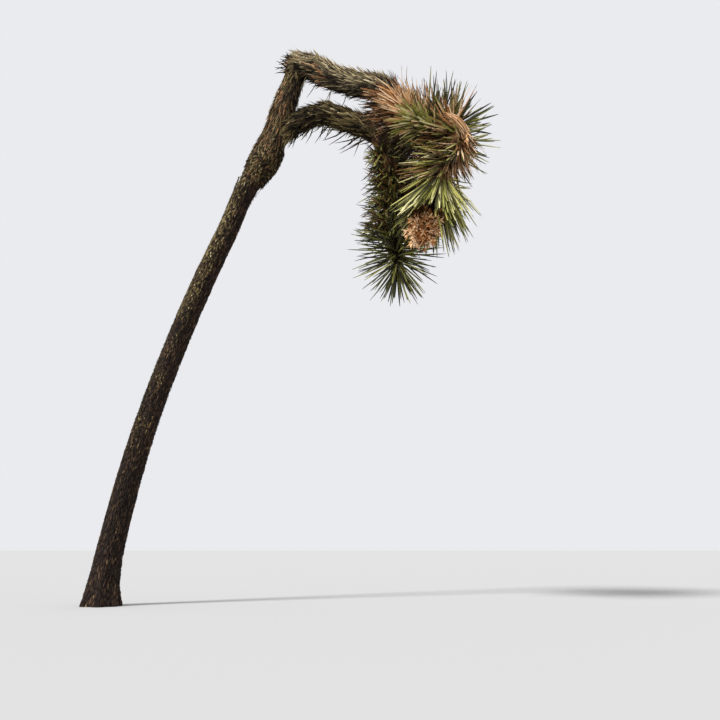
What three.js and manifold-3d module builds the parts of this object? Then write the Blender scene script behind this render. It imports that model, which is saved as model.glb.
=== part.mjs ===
// A joshua tree: a leaning trunk that forks near its top into two shaggy boughs.
// The upper bough rises to a knee and arches over, and the lower one leaves the fork sideways.
// Both end in shoots clothed in stiff dagger leaves, which hang beside the trunk.
// Millimetres, +Z up, origin at the centre of the flat cut under the trunk.
import * as THREE from "three";
import { mergeVertices } from "three/addons/utils/BufferGeometryUtils.js";
import Module from "manifold-3d";

const wasm = await Module();
wasm.setup();

// Driving dimensions of the wood.
const TRUNK_LENGTH = 3500;
const TRUNK_RADIUS_LOW = 95;
const TRUNK_RADIUS_HIGH = 73;
const ROOT_FLARE = 54;
const ROOT_FLARE_REACH = 150;
const ROOT_LOBES = 7;
const ROOT_BELOW_GROUND = 120;
const THATCH_DEPTH = 42;
const BOUGH_RADIUS = 90;
const SHOOT_RADIUS = 46;
const PANICLE_RADIUS = 15;
const PANICLE_REACH = 125;
const GAP = 0.3;
const JOINT_OVERLAP = 30;

// Driving dimensions of the leaves, which are fewer and stouter than life.
const LEAF = { length: 300, width: 22, thickness: 9 };
const DEAD_LEAF = { length: 300, width: 20, thickness: 8 };
const BRISTLE = { length: 170, width: 16, thickness: 7 };
const TWIG = { length: 118, width: 11, thickness: 11 };
const CAPSULE = { length: 46, width: 25, thickness: 25 };
const LEAF_BELLY = 0.3;
const LEAF_ROOT = 0.45;
const LEAF_CLEARANCE = 12;
const LEAF_REACH = 400;
const WOOD_CLEARANCE = 2;
const GOLDEN_ANGLE = 137.508;

const GROUND_BLOCK = 1200;
const SHORTEST_EDGE = 0.05;

const BARK = 0x3b3026;
const THATCH = 0x6b5c40;
const GREEN = 0x6f8a34;
const DEEP_GREEN = 0x465a2c;
const STRAW = 0xb08a5a;
const HUSK = 0x9a5f37;

const radians = THREE.MathUtils.degToRad;
const { lerp, smoothstep } = THREE.MathUtils;

// A seeded random number from -1 to 1.
function dice(seed) {
  let state = seed >>> 0;
  return () => {
    state = (Math.imul(state, 1664525) + 1013904223) >>> 0;
    let mixed = Math.imul(state ^ (state >>> 15), 0x2c1b3c6d);
    mixed = Math.imul(mixed ^ (mixed >>> 12), 0x297a2d39);
    return ((mixed ^ (mixed >>> 15)) >>> 0) / 2147483648 - 1;
  };
}

// The value at a share t of the way through a list of [share, value] keys.
function keyed(keys, t) {
  if (typeof keys === "number") return keys;
  const next = keys.findIndex(([share]) => share >= t);
  if (next < 0) return keys[keys.length - 1][1];
  if (next === 0) return keys[0][1];
  const [from, low] = keys[next - 1];
  const [to, high] = keys[next];
  return lerp(low, high, (t - from) / (to - from));
}

// Lean is the angle from straight up, and swing the compass angle from +X towards +Y.
function heading(lean, swing) {
  const side = Math.sin(radians(lean));
  return new THREE.Vector3(
    side * Math.cos(radians(swing)),
    side * Math.sin(radians(swing)),
    Math.cos(radians(lean)),
  );
}

// The centreline of a limb that leaves start and turns as its lean and swing say.
function centreline(start, { length, lean, swing }) {
  const steps = 30;
  const points = [start];
  for (let i = 0; i < steps; i++) {
    const t = (i + 0.5) / steps;
    const way = heading(keyed(lean, t), keyed(swing, t));
    points.push(points[i].clone().addScaledVector(way, length / steps));
  }
  return new THREE.CatmullRomCurve3(points);
}

// Soft lumps round a limb, as a share of its radius.
function lumps(angle, along) {
  const slow = Math.sin(2 * angle + along * 0.004 + 1.3);
  const quick = Math.sin(5 * angle - along * 0.011) * Math.cos(along * 0.017 + 0.6);
  return 1 + 0.025 * slow + 0.018 * quick;
}

// Lobes where the trunk spreads into the ground, fading out above it.
function rootLobes(angle, height) {
  return 1 + 0.09 * Math.exp(-Math.max(height, 0) / ROOT_FLARE_REACH) * Math.sin(ROOT_LOBES * angle + 0.7);
}

// A limb is a lathed spindle whose rings are moved onto the limb's centreline.
// With extra it is that much fatter and longer, to cut room in a neighbour.
function limbSolid(name, extra = 0) {
  const { radius, sides, steps, lobed } = LIMBS[name];
  const path = paths[name];
  const profile = [new THREE.Vector2(0, 0)];
  for (let i = 0; i <= steps; i++) profile.push(new THREE.Vector2(keyed(radius, i / steps), i));
  profile.push(new THREE.Vector2(0, steps));
  const geometry = new THREE.LatheGeometry(profile, sides);
  const { binormals, normals } = path.computeFrenetFrames(steps);
  const length = path.getLength();
  const place = geometry.attributes.position;
  for (let i = 0; i < place.count; i++) {
    const ring = Math.round(place.getY(i));
    const t = ring / steps;
    const reach = Math.hypot(place.getX(i), place.getZ(i));
    const angle = Math.atan2(place.getZ(i), place.getX(i));
    const centre = path.getPointAt(t);
    const swell = lumps(angle, t * length) * (lobed ? rootLobes(angle, centre.z) : 1);
    const distance = reach > 0 ? reach * swell + extra : 0;
    centre.addScaledVector(binormals[ring], distance * Math.cos(angle));
    centre.addScaledVector(normals[ring], distance * Math.sin(angle));
    if (ring === 0) centre.addScaledVector(path.getTangentAt(0), -extra);
    if (ring === steps) centre.addScaledVector(path.getTangentAt(1), extra);
    place.setXYZ(i, centre.x, centre.y, centre.z);
  }
  return solid(geometry);
}

// A leaf has eight faces: a pointed root, a belly near it, and a long point.
function leafGeometry(leaf) {
  const geometry = new THREE.OctahedronGeometry(1);
  const place = geometry.attributes.position;
  const shares = [0, leaf.belly ?? LEAF_BELLY, 1];
  for (let i = 0; i < place.count; i++) {
    const share = shares[Math.round(place.getY(i)) + 1];
    const x = (place.getX(i) * leaf.width) / 2;
    const z = (place.getZ(i) * leaf.thickness) / 2;
    place.setXYZ(i, x, share * leaf.length, z);
  }
  const upper = new THREE.Vector3().crossVectors(leaf.across, leaf.along);
  const frame = new THREE.Matrix4().makeBasis(leaf.across, leaf.along, upper);
  return geometry.applyMatrix4(frame.setPosition(leaf.root));
}

// Leaves in a golden-angle spiral up a limb, each tilted from the limb's way by its pitch.
function leavesOn(name, { kind, count, from = 0, to = 1, pitch, size = 1, droop = 0, seed, facing }) {
  const path = paths[name];
  const random = dice(seed);
  const { binormals, normals, tangents } = path.computeFrenetFrames(100);
  const leaves = [];
  for (let i = 0; i < count; i++) {
    const share = (i + 0.5) / count;
    const t = lerp(from, to, share);
    const ring = Math.round(t * 100);
    const angle = radians(i * GOLDEN_ANGLE + 14 * random());
    const out = new THREE.Vector3()
      .addScaledVector(binormals[ring], Math.cos(angle))
      .addScaledVector(normals[ring], Math.sin(angle));
    const tilt = radians(keyed(pitch, share) + 9 * random());
    const along = out
      .clone()
      .multiplyScalar(Math.sin(tilt))
      .addScaledVector(tangents[ring], Math.cos(tilt));
    along.z -= droop;
    along.normalize();
    const across = new THREE.Vector3().crossVectors(tangents[ring], out);
    across.addScaledVector(along, -across.dot(along)).normalize();
    const depth = LEAF_ROOT * keyed(LIMBS[name].radius, t);
    const root = path.getPointAt(t).addScaledVector(out, depth);
    const length = kind.length * keyed(size, share) * (1 + 0.14 * random());
    if (facing && out.dot(heading(...facing)) < 0.25) continue;
    leaves.push({ ...kind, root, along, across, length });
  }
  return leaves;
}

function pointOn(leaf, share) {
  return leaf.root.clone().addScaledVector(leaf.along, share * leaf.length);
}

// The point of a limb's centreline nearest to a place.
function nearestOn(name, place) {
  const near = (best, point) =>
    point.distanceToSquared(place) < best.distanceToSquared(place) ? point : best;
  return spines[name].reduce(near);
}

// A mass's space is what lies within reach of its stem. Where two spaces cross,
// a place belongs to the mass whose stem is nearer.
function keepsToItsSpace(leaf, name) {
  return [0.1, 0.25, 0.4, 0.55, 0.7, 0.85, 1].every((share) => {
    const place = pointOn(leaf, share);
    const own = nearestOn(name, place);
    if (own.distanceTo(place) > LIMBS[name].reach) return false;
    return massNames.every((other) => {
      if (other === name) return true;
      const theirs = nearestOn(other, place);
      if (theirs.distanceTo(place) > LIMBS[other].reach + 2 * LEAF_CLEARANCE) return true;
      const apart = theirs.distanceToSquared(place) - own.distanceToSquared(place);
      return apart > 2 * LEAF_CLEARANCE * theirs.distanceTo(own);
    });
  });
}

function solid(geometry) {
  const bare = geometry.clone();
  bare.deleteAttribute("normal");
  bare.deleteAttribute("uv");
  const merged = mergeVertices(bare, 1e-3);
  return new wasm.Manifold(
    new wasm.Mesh({
      numProp: 3,
      vertProperties: new Float32Array(merged.attributes.position.array),
      triVerts: new Uint32Array(merged.index.array),
    }),
  );
}

// The largest body of a fused solid: loose scraps are dropped.
function largestBody(fused) {
  const bodies = fused.simplify(SHORTEST_EDGE).decompose();
  return bodies.reduce((best, body) => (body.volume() > best.volume() ? body : best));
}

// A limb with its leaves fused on, cut clear of the limbs it leaves and of the ground.
function grow(name) {
  const limb = LIMBS[name];
  const others = Object.keys(LIMBS).filter((other) => other !== name);
  const wood = others.filter((other) => grown[other] && !LIMBS[other].mass);
  const inTheWay = [...others.map((other) => bare[other]), ...wood.map((other) => grown[other])];
  const touches = (blade) => inTheWay.some((other) => blade.minGap(other, WOOD_CLEARANCE) < WOOD_CLEARANCE);
  let stem = bare[name];
  for (const other of limb.clearOf ?? []) stem = stem.subtract(limbSolid(other, GAP));
  if (name === "trunk") stem = stem.subtract(ground);
  const fused = [stem];
  for (const rule of limb.leaves ?? []) {
    for (const leaf of leavesOn(name, rule)) {
      if (limb.mass && !keepsToItsSpace(leaf, name)) continue;
      const blade = solid(leafGeometry(leaf));
      if (touches(blade)) continue;
      fused.push(blade);
      if (rule.fruit) fused.push(...capsulesOn(leaf));
    }
  }
  return largestBody(wasm.Manifold.union(fused));
}

// Dry seed pods along the outer half of a flower stalk's side twig.
function capsulesOn(twig) {
  return [0.5, 0.72, 0.94].map((share, i) => {
    const across = twig.across.clone().applyAxisAngle(twig.along, i * 2.2);
    const along = twig.along.clone().addScaledVector(across, 0.8).normalize();
    const side = new THREE.Vector3().crossVectors(along, twig.along).normalize();
    const root = pointOn(twig, share - 0.1);
    return solid(leafGeometry({ ...CAPSULE, belly: 0.55, root, along, across: side }));
  });
}

// The trunk tapers, flares at the root and carries a collar of thatch under the fork.
function trunkRadius() {
  const keys = [];
  for (let i = 0; i <= 40; i++) {
    const t = i / 40;
    const height = t * (TRUNK_LENGTH + ROOT_BELOW_GROUND) - ROOT_BELOW_GROUND;
    const flare = ROOT_FLARE * Math.exp(-Math.max(height, 0) / ROOT_FLARE_REACH);
    const bare = lerp(TRUNK_RADIUS_LOW, TRUNK_RADIUS_HIGH, Math.sqrt(t));
    keys.push([t, bare + flare + THATCH_DEPTH * smoothstep(t, 0.86, 0.96)]);
  }
  return keys;
}

const bough = (...keys) => keys.map(([t, share]) => [t, share * BOUGH_RADIUS]);
const shoot = (...keys) => keys.map(([t, share]) => [t, share * SHOOT_RADIUS]);

// Each limb starts at the end of the one named by after.
const LIMBS = {
  trunk: {
    length: TRUNK_LENGTH + ROOT_BELOW_GROUND,
    lean: [[0, 3], [0.16, 11], [0.45, 18], [0.76, 23.5], [1, 25]],
    swing: 0,
    radius: trunkRadius(),
    sides: 18,
    steps: 32,
    lobed: true,
    colour: BARK,
    leaves: [{ kind: BRISTLE, count: 30, from: 0.87, to: 0.985, pitch: 158, seed: 11 }],
  },
  upper_bough_rise: {
    after: "trunk",
    clearOf: ["trunk"],
    length: 735,
    lean: [[0, 20], [0.3, 15], [1, 14]],
    swing: 0,
    radius: bough([0, 1.2], [0.2, 0.98], [0.8, 1], [0.92, 1], [1, 0.62]),
    sides: 14,
    steps: 10,
    colour: THATCH,
    leaves: [
      { kind: BRISTLE, count: 34, from: 0.84, to: 0.98, pitch: [[0, 140], [1, 60]], size: 0.65, facing: [75, 180], seed: 23 },
      { kind: BRISTLE, count: 16, from: 0.1, to: 0.7, pitch: 155, size: 0.8, seed: 24 },
    ],
  },
  upper_bough_arch: {
    after: "upper_bough_rise",
    from: 0.96,
    clearOf: ["upper_bough_rise"],
    length: 830,
    lean: [[0, 92], [0.12, 114], [0.28, 124], [0.5, 117], [0.7, 107], [1, 128]],
    swing: [[0, -8], [0.4, -18], [1, -20]],
    radius: bough([0, 0.9], [0.2, 1.04], [0.5, 0.98], [0.85, 1], [1, 0.8]),
    sides: 14,
    steps: 12,
    colour: THATCH,
    leaves: [
      { kind: BRISTLE, count: 34, from: 0.16, to: 0.92, pitch: 150, size: 0.75, seed: 31 },
      { kind: BRISTLE, count: 18, from: 0.2, to: 0.8, pitch: 100, droop: 0.5, size: 0.9, facing: [180, 0], seed: 32 },
    ],
  },
  lower_bough: {
    after: "trunk",
    from: 0.97,
    clearOf: ["trunk", "upper_bough_rise"],
    length: 1080,
    lean: [[0, 24], [0.13, 34], [0.31, 58], [0.45, 68], [0.63, 110], [0.81, 115], [0.94, 137], [1, 148]],
    swing: 0,
    radius: bough([0, 0.9], [0.3, 0.95], [0.55, 1], [0.85, 1], [1, 0.72]),
    sides: 14,
    steps: 16,
    colour: THATCH,
    leaves: [
      { kind: BRISTLE, count: 130, from: 0.2, to: 0.93, pitch: 118, droop: 0.7, size: [[0, 0.85], [0.5, 1.15], [1, 1.25]], facing: [180, 0], seed: 41 },
      { kind: BRISTLE, count: 26, from: 0.25, to: 0.9, pitch: 150, size: 0.75, facing: [0, 0], seed: 42 },
    ],
  },
  lower_shoot: {
    after: "lower_bough",
    clearOf: ["lower_bough"],
    mass: true,
    reach: LEAF_REACH,
    length: 780,
    lean: [[0, 158], [0.14, 169], [1, 176]],
    swing: 0,
    radius: shoot([0, 1.3], [0.3, 1.05], [1, 1]),
    sides: 10,
    steps: 8,
    colour: DEEP_GREEN,
    leaves: [
      { kind: LEAF, count: 120, from: 0.03, to: 0.97, pitch: [[0, 128], [0.3, 108], [1, 98]], size: [[0, 0.74], [1, 0.8]], seed: 51 },
      { kind: LEAF, count: 70, from: 0.03, to: 0.7, pitch: [[0, 118], [1, 75]], facing: [90, 0], seed: 53 },
    ],
  },
  lowest_rosette: {
    after: "lower_shoot",
    clearOf: ["lower_shoot"],
    mass: true,
    reach: LEAF_REACH,
    length: 290,
    lean: [[0, 176], [1, 180]],
    swing: 0,
    radius: shoot([0, 1], [0.7, 1], [1, 0.4]),
    sides: 10,
    steps: 6,
    colour: GREEN,
    leaves: [{ kind: LEAF, count: 150, from: 0.04, to: 0.98, pitch: [[0, 98], [0.3, 98], [0.65, 72], [1, 16]], size: [[0, 0.88], [0.4, 1.05], [1, 0.8]], seed: 52 }],
  },
  upper_shoot: {
    after: "upper_bough_arch",
    clearOf: ["upper_bough_arch"],
    mass: true,
    reach: LEAF_REACH,
    length: 1060,
    lean: [[0, 142], [0.26, 130], [0.5, 114], [0.58, 124], [0.72, 190], [0.85, 226], [1, 202]],
    swing: [[0, -23], [0.5, -26], [0.72, 0], [1, 20]],
    radius: shoot([0, 1.45], [0.3, 1.2], [1, 1.05]),
    sides: 10,
    steps: 18,
    colour: STRAW,
    leaves: [
      { kind: DEAD_LEAF, count: 150, from: 0.03, to: 0.56, pitch: [[0, 160], [0.35, 140], [0.6, 118], [1, 96]], size: [[0, 0.5], [0.3, 0.7], [0.5, 1], [1, 1.08]], droop: 0.1, seed: 61 },
      { kind: DEAD_LEAF, count: 150, from: 0.3, to: 0.8, pitch: [[0, 150], [0.5, 138], [1, 100]], size: 1.1, facing: [138, 190], seed: 62 },
      { kind: DEAD_LEAF, count: 60, from: 0.75, to: 0.97, pitch: [[0, 100], [1, 80]], size: 1.1, facing: [100, 200], seed: 66 },
      { kind: DEAD_LEAF, count: 60, from: 0.56, to: 0.97, pitch: 158, size: 0.7, facing: [90, 0], seed: 65 },
    ],
  },
  crown_rosette: {
    after: "upper_shoot",
    from: 0.5,
    clearOf: ["upper_shoot"],
    mass: true,
    reach: LEAF_REACH,
    length: 190,
    lean: [[0, 80], [1, 86]],
    swing: [[0, 34], [1, 44]],
    radius: shoot([0, 1.15], [0.7, 1], [1, 0.4]),
    sides: 10,
    steps: 5,
    colour: GREEN,
    leaves: [{ kind: LEAF, count: 120, from: 0.15, to: 0.98, pitch: [[0, 118], [0.6, 75], [1, 15]], size: 0.88, seed: 63 }],
  },
  hanging_rosette: {
    after: "upper_shoot",
    clearOf: ["upper_shoot"],
    mass: true,
    reach: LEAF_REACH,
    length: 310,
    lean: [[0, 190], [0.4, 198], [1, 202]],
    swing: [[0, 20], [1, 32]],
    radius: shoot([0, 1.05], [0.7, 1], [1, 0.5]),
    sides: 10,
    steps: 6,
    colour: GREEN,
    leaves: [{ kind: LEAF, count: 150, from: 0.04, to: 0.97, pitch: [[0, 60], [0.5, 48], [1, 30]], size: [[0, 1.3], [1, 0.95]], droop: 0.2, seed: 64 }],
  },
  dried_flower_cluster: {
    after: "hanging_rosette",
    clearOf: ["hanging_rosette"],
    mass: true,
    reach: PANICLE_REACH,
    length: 235,
    lean: [[0, 208], [1, 186]],
    swing: 10,
    radius: [[0, PANICLE_RADIUS * 1.3], [1, PANICLE_RADIUS * 0.5]],
    sides: 6,
    steps: 5,
    colour: HUSK,
    leaves: [{ kind: TWIG, count: 22, from: 0.12, to: 0.98, pitch: [[0, 88], [1, 35]], size: [[0, 0.8], [0.4, 1], [1, 0.7]], fruit: true, seed: 71 }],
  },
};

const paths = {};
for (const [name, limb] of Object.entries(LIMBS)) {
  const start = new THREE.Vector3();
  if (limb.after) {
    const leaving = limb.from ?? 1 - JOINT_OVERLAP / paths[limb.after].getLength();
    start.copy(paths[limb.after].getPointAt(leaving));
  } else {
    start.addScaledVector(heading(keyed(limb.lean, 0), limb.swing), -ROOT_BELOW_GROUND);
  }
  paths[name] = centreline(start, limb);
}
const spines = Object.fromEntries(Object.entries(paths).map(([name, path]) => [name, path.getSpacedPoints(40)]));
const massNames = Object.keys(LIMBS).filter((name) => LIMBS[name].mass);
const ground = solid(new THREE.BoxGeometry(GROUND_BLOCK, GROUND_BLOCK, GROUND_BLOCK).translate(0, 0, -GROUND_BLOCK / 2));

const bare = Object.fromEntries(Object.keys(LIMBS).map((name) => [name, limbSolid(name)]));
const grown = {};
const tree = new THREE.Group();
for (const [name, limb] of Object.entries(LIMBS)) {
  grown[name] = grow(name);
  const { vertProperties, triVerts } = grown[name].getMesh();
  const geometry = new THREE.BufferGeometry()
    .setAttribute("position", new THREE.BufferAttribute(new Float32Array(vertProperties), 3))
    .setIndex(new THREE.BufferAttribute(new Uint32Array(triVerts), 1));
  geometry.computeVertexNormals();
  const look = { color: limb.colour, roughness: 0.85, metalness: 0, flatShading: true };
  const mesh = new THREE.Mesh(geometry, new THREE.MeshStandardMaterial(look));
  mesh.name = name;
  tree.add(mesh);
}

export default tree;
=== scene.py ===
# %% [markdown]
# # A joshua tree
# The real tree is a leaning trunk that forks near its top. Its boughs wear a thatch of old dead
# leaves, and each ends in a shoot clothed in stiff dagger leaves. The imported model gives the
# frame that everything here stays inside, so it is loaded first and its box is kept.

# %% Load the frame
import math
from functools import partial
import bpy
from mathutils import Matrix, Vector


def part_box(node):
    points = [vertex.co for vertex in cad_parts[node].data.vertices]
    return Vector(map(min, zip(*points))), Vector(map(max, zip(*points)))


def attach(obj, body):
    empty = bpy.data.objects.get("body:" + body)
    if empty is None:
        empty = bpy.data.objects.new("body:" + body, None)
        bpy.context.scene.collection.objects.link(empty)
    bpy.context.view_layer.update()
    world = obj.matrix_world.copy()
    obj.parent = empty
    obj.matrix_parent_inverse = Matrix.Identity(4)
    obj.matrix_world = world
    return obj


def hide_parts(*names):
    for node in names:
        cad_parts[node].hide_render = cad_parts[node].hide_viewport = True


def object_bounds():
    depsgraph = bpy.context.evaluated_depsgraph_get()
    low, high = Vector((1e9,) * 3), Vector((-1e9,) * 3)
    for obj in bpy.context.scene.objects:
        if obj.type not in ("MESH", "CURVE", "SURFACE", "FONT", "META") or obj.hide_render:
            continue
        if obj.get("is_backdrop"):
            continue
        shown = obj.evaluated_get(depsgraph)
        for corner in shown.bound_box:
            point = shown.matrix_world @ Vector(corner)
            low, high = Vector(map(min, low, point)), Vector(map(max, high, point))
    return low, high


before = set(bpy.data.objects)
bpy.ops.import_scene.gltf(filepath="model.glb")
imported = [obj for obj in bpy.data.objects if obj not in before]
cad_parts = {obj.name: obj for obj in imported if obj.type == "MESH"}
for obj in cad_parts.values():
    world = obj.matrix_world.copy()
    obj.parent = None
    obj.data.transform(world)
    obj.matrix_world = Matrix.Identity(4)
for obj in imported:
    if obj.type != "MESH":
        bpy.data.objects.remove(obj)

from types import SimpleNamespace

import bpy
import numpy as np
from mathutils import Quaternion, Vector

cad_low, cad_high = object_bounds()
print("CAD box", [round(x, 3) for x in (*cad_low, *cad_high)])

# %% [markdown]
# ## The wood's dimensions
# A tree is easiest to keep in order when each limb is a short rule: how long it is, how it leans
# and swings along its way, and how thick it is. All are real sizes in metres and degrees.

# %% Driving dimensions
TRUNK_LENGTH = 3.5
ROOT_BELOW_GROUND = 0.12
TRUNK_RADIUS_LOW = 0.095
TRUNK_RADIUS_HIGH = 0.073
ROOT_FLARE = 0.054
ROOT_FLARE_REACH = 0.15
ROOT_LOBES = 7
THATCH_DEPTH = 0.042
BOUGH_RADIUS = 0.09
SHOOT_RADIUS = 0.046
PANICLE_RADIUS = 0.015
PANICLE_REACH = 0.125
LEAF_REACH = 0.4
JOINT_OVERLAP = 0.03
GOLDEN_ANGLE = 137.508
print("trunk", TRUNK_LENGTH, "m long and", 2 * TRUNK_RADIUS_LOW, "m thick above its flare")

# %% [markdown]
# ## How a limb finds its way
# Lean is the angle from straight up, and swing is the compass angle from +X towards +Y. Both are
# keyed: a list of pairs holds a share of the way and the value there, and bare values are spread
# evenly. Walking along the limb in small steps, each in the keyed direction, gives its centreline.
# A drawn curve would do as well, but keys can be changed as one would describe the limb in words.

# %% Keys, headings and centrelines
STEPS = 240


def keyed(keys, share):
    """The value at a share, or at many: of a number, of (share, value) keys or of even steps."""
    if isinstance(keys, (int, float)):
        return np.full(np.shape(share), float(keys))
    if isinstance(keys, tuple):
        keys = zip(np.linspace(0, 1, len(keys)), keys)
    return np.interp(share, *zip(*keys))


def heading(lean, swing):
    lean, swing = np.radians(lean), np.radians(swing)
    side = np.sin(lean)
    return np.stack([side * np.cos(swing), side * np.sin(swing), np.cos(lean)], axis=-1)


def centreline(start, limb):
    share = (np.arange(STEPS) + 0.5) / STEPS
    ways = heading(keyed(limb["lean"], share), keyed(limb.get("swing", 0), share))
    walked = np.cumsum(ways, axis=0) * limb["length"] / STEPS
    return np.vstack([start, start + walked])


print("a heading 25 degrees from upright:", heading(25.0, 0.0).round(3))

# %% [markdown]
# The trunk tapers, flares where it enters the ground, and carries a collar of thatch under the
# fork. Its radius is worked out at many places, because the flare is a curve and not a line.

# %% The trunk's girth
GIRTH_KEYS = 41
COLLAR_SHARES = (0.86, 0.96)


def smooth_step(value, low, high):
    share = np.clip((value - low) / (high - low), 0, 1)
    return share * share * (3 - 2 * share)


def trunk_girth(collar_depth):
    shares = np.linspace(0, 1, GIRTH_KEYS)
    height = np.maximum(shares * (TRUNK_LENGTH + ROOT_BELOW_GROUND) - ROOT_BELOW_GROUND, 0)
    flare = ROOT_FLARE * np.exp(-height / ROOT_FLARE_REACH)
    bare = TRUNK_RADIUS_LOW + (TRUNK_RADIUS_HIGH - TRUNK_RADIUS_LOW) * np.sqrt(shares)
    collar = collar_depth * smooth_step(shares, *COLLAR_SHARES)
    return list(zip(shares, bare + flare + collar))


def bough(*keys):
    return [(share, BOUGH_RADIUS * part) for share, part in keys]


def shoot(*keys):
    return [(share, SHOOT_RADIUS * part) for share, part in keys]


# %% [markdown]
# ## The ten limbs
# Each limb starts inside the end of the one that it grows from. The first four are wood, and the
# others are the stems of the leafy masses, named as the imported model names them.

# %% The limbs
LIMBS = {
    "trunk": dict(
        length=TRUNK_LENGTH + ROOT_BELOW_GROUND, girth=trunk_girth(THATCH_DEPTH),
        lean=[(0, 3), (0.16, 11), (0.45, 18), (0.76, 23.5), (1, 25)],
    ),
    "upper_bough_rise": dict(
        after="trunk", length=0.735, lean=[(0, 20), (0.3, 15), (1, 14)],
        girth=bough((0, 1.2), (0.2, 0.98), (0.8, 1), (0.92, 1), (1, 0.62)),
    ),
    "upper_bough_arch": dict(
        after="upper_bough_rise", leaves_at=0.96, length=0.83, swing=[(0, -8), (0.4, -18), (1, -20)],
        lean=[(0, 92), (0.12, 114), (0.28, 124), (0.5, 117), (0.7, 107), (1, 128)],
        girth=bough((0, 0.9), (0.2, 1.04), (0.5, 0.98), (0.85, 1), (1, 0.8)),
    ),
    "lower_bough": dict(
        after="trunk", leaves_at=0.97, length=1.08,
        lean=[(0, 24), (0.13, 34), (0.31, 58), (0.45, 68), (0.63, 110), (0.81, 115), (0.94, 137), (1, 148)],
        girth=bough((0, 0.9), (0.3, 0.95), (0.55, 1), (0.85, 1), (1, 0.72)),
    ),
    "lower_shoot": dict(
        after="lower_bough", length=0.78, lean=[(0, 158), (0.14, 169), (1, 176)],
        girth=shoot((0, 1.3), (0.3, 1.05), (1, 1)),
    ),
    "lowest_rosette": dict(
        after="lower_shoot", length=0.29, lean=(176, 180), girth=shoot((0, 1), (0.7, 1), (1, 0.4)),
    ),
    "upper_shoot": dict(
        after="upper_bough_arch", length=1.06, swing=[(0, -23), (0.5, -26), (0.72, 0), (1, 20)],
        lean=[(0, 142), (0.26, 130), (0.5, 114), (0.58, 124), (0.72, 190), (0.85, 226), (1, 202)],
        girth=shoot((0, 1.45), (0.3, 1.2), (1, 1.05)),
    ),
    "crown_rosette": dict(
        after="upper_shoot", leaves_at=0.5, length=0.19, lean=(80, 86), swing=(34, 44),
        girth=shoot((0, 1.15), (0.7, 1), (1, 0.4)),
    ),
    "hanging_rosette": dict(
        after="upper_shoot", length=0.31, lean=[(0, 190), (0.4, 198), (1, 202)], swing=(20, 32),
        girth=shoot((0, 1.05), (0.7, 1), (1, 0.5)),
    ),
    "dried_flower_cluster": dict(
        after="hanging_rosette", length=0.235, lean=(208, 186), swing=10,
        girth=[(0, 1.3 * PANICLE_RADIUS), (1, 0.5 * PANICLE_RADIUS)],
    ),
}
WOOD = ["trunk", "upper_bough_rise", "upper_bough_arch", "lower_bough"]
MASSES = [name for name in LIMBS if name not in WOOD]

SHARES = np.linspace(0, 1, STEPS + 1)
ways = {}


def places_on(name, shares):
    return np.stack([np.interp(shares, SHARES, ways[name][:, axis]) for axis in range(3)], axis=-1)


def walk(name, limb):
    """Finds where a limb starts and follows its keys from there."""
    if "after" in limb:
        leaving = limb.get("leaves_at", 1 - JOINT_OVERLAP / LIMBS[limb["after"]]["length"])
        start = places_on(limb["after"], leaving) + limb.get("beside", (0, 0, 0))
    else:
        start = -ROOT_BELOW_GROUND * heading(limb["lean"][0][1], 0)
    ways[name] = centreline(start, limb)


for name, limb in LIMBS.items():
    walk(name, limb)
    low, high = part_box(name)
    middle = (low + high) / 2
    print(f"{name:22s} ends at {ways[name][-1].round(3)}, CAD node's middle {[round(x, 3) for x in middle]}")
GROUND_SHARE = float(np.interp(0, ways["trunk"][:, 2], SHARES))

# %% [markdown]
# Where a limb bends sharply its old leaves are pushed together into growths of their own. At the
# elbow of the upper shoot there are three: a sheaf of bleached leaves folded over the outside of
# the bend, a whorl of dead ones that faces the viewer, and a fan that spreads back over the end of
# the arch. At the knee a mat of straw wraps the top of the rise. Each keeps to the space of the
# limb that it leaves, and "beside" says how far from that limb's centre it starts.

# %% Growths at the bends
GROWTHS = {
    "knee_mat": dict(
        after="upper_bough_rise", leaves_at=0.96, beside=(-0.012, -0.02, -0.014), length=0.17, lean=94,
        swing=-10, girth=[(0, 0.045), (0.25, 0.07), (0.6, 0.088), (1, 0.082)],
    ),
    "elbow_fold": dict(
        after="upper_shoot", leaves_at=0.5, beside=(-0.004, -0.09, 0.032), length=0.28,
        lean=[(0, 108), (0.24, 122), (0.45, 138), (0.65, 145), (0.85, 165), (1, 180)],
        swing=(-12, -6, 8), girth=[(0, 0.018), (0.3, 0.026), (0.8, 0.026), (1, 0.018)],
    ),
    "elbow_whorl": dict(
        after="upper_shoot", leaves_at=0.66, beside=(-0.022, 0, 0), length=0.1, lean=98, swing=-95,
        girth=(0.04, 0.02),
    ),
    "elbow_fan": dict(
        after="upper_shoot", leaves_at=0.5, beside=(-0.055, -0.06, -0.055), length=0.27, lean=(66, 50),
        swing=186, girth=(0.045, 0.03),
    ),
}
for name, growth in GROWTHS.items():
    walk(name, growth)
    print(name, "ends at", ways[name][-1].round(3))

# %% [markdown]
# ## A stretch of limb as a line of points
# Geometry Nodes read what they need from the points of a line: how thick the limb is there, how
# far a leaf tilts, how large it is, and a direction square to the limb from which angles round
# it are measured. That last one is carried along from point to point with as little turning as
# possible, because any other choice would twist the spiral of leaves at each bend.

# %% Stretches
VECTOR = "FLOAT_VECTOR"


def side_vectors(points):
    steps = np.diff(points, axis=0)
    tangents = np.vstack([steps, steps[-1:]])
    tangents /= np.linalg.norm(tangents, axis=1, keepdims=True)
    side = np.cross(tangents[0], (0.2, 1, 0.1))
    sides = []
    for tangent in tangents:
        side = side - tangent * side.dot(tangent)
        side /= np.linalg.norm(side)
        sides.append(side.copy())
    return np.array(sides)


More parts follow.
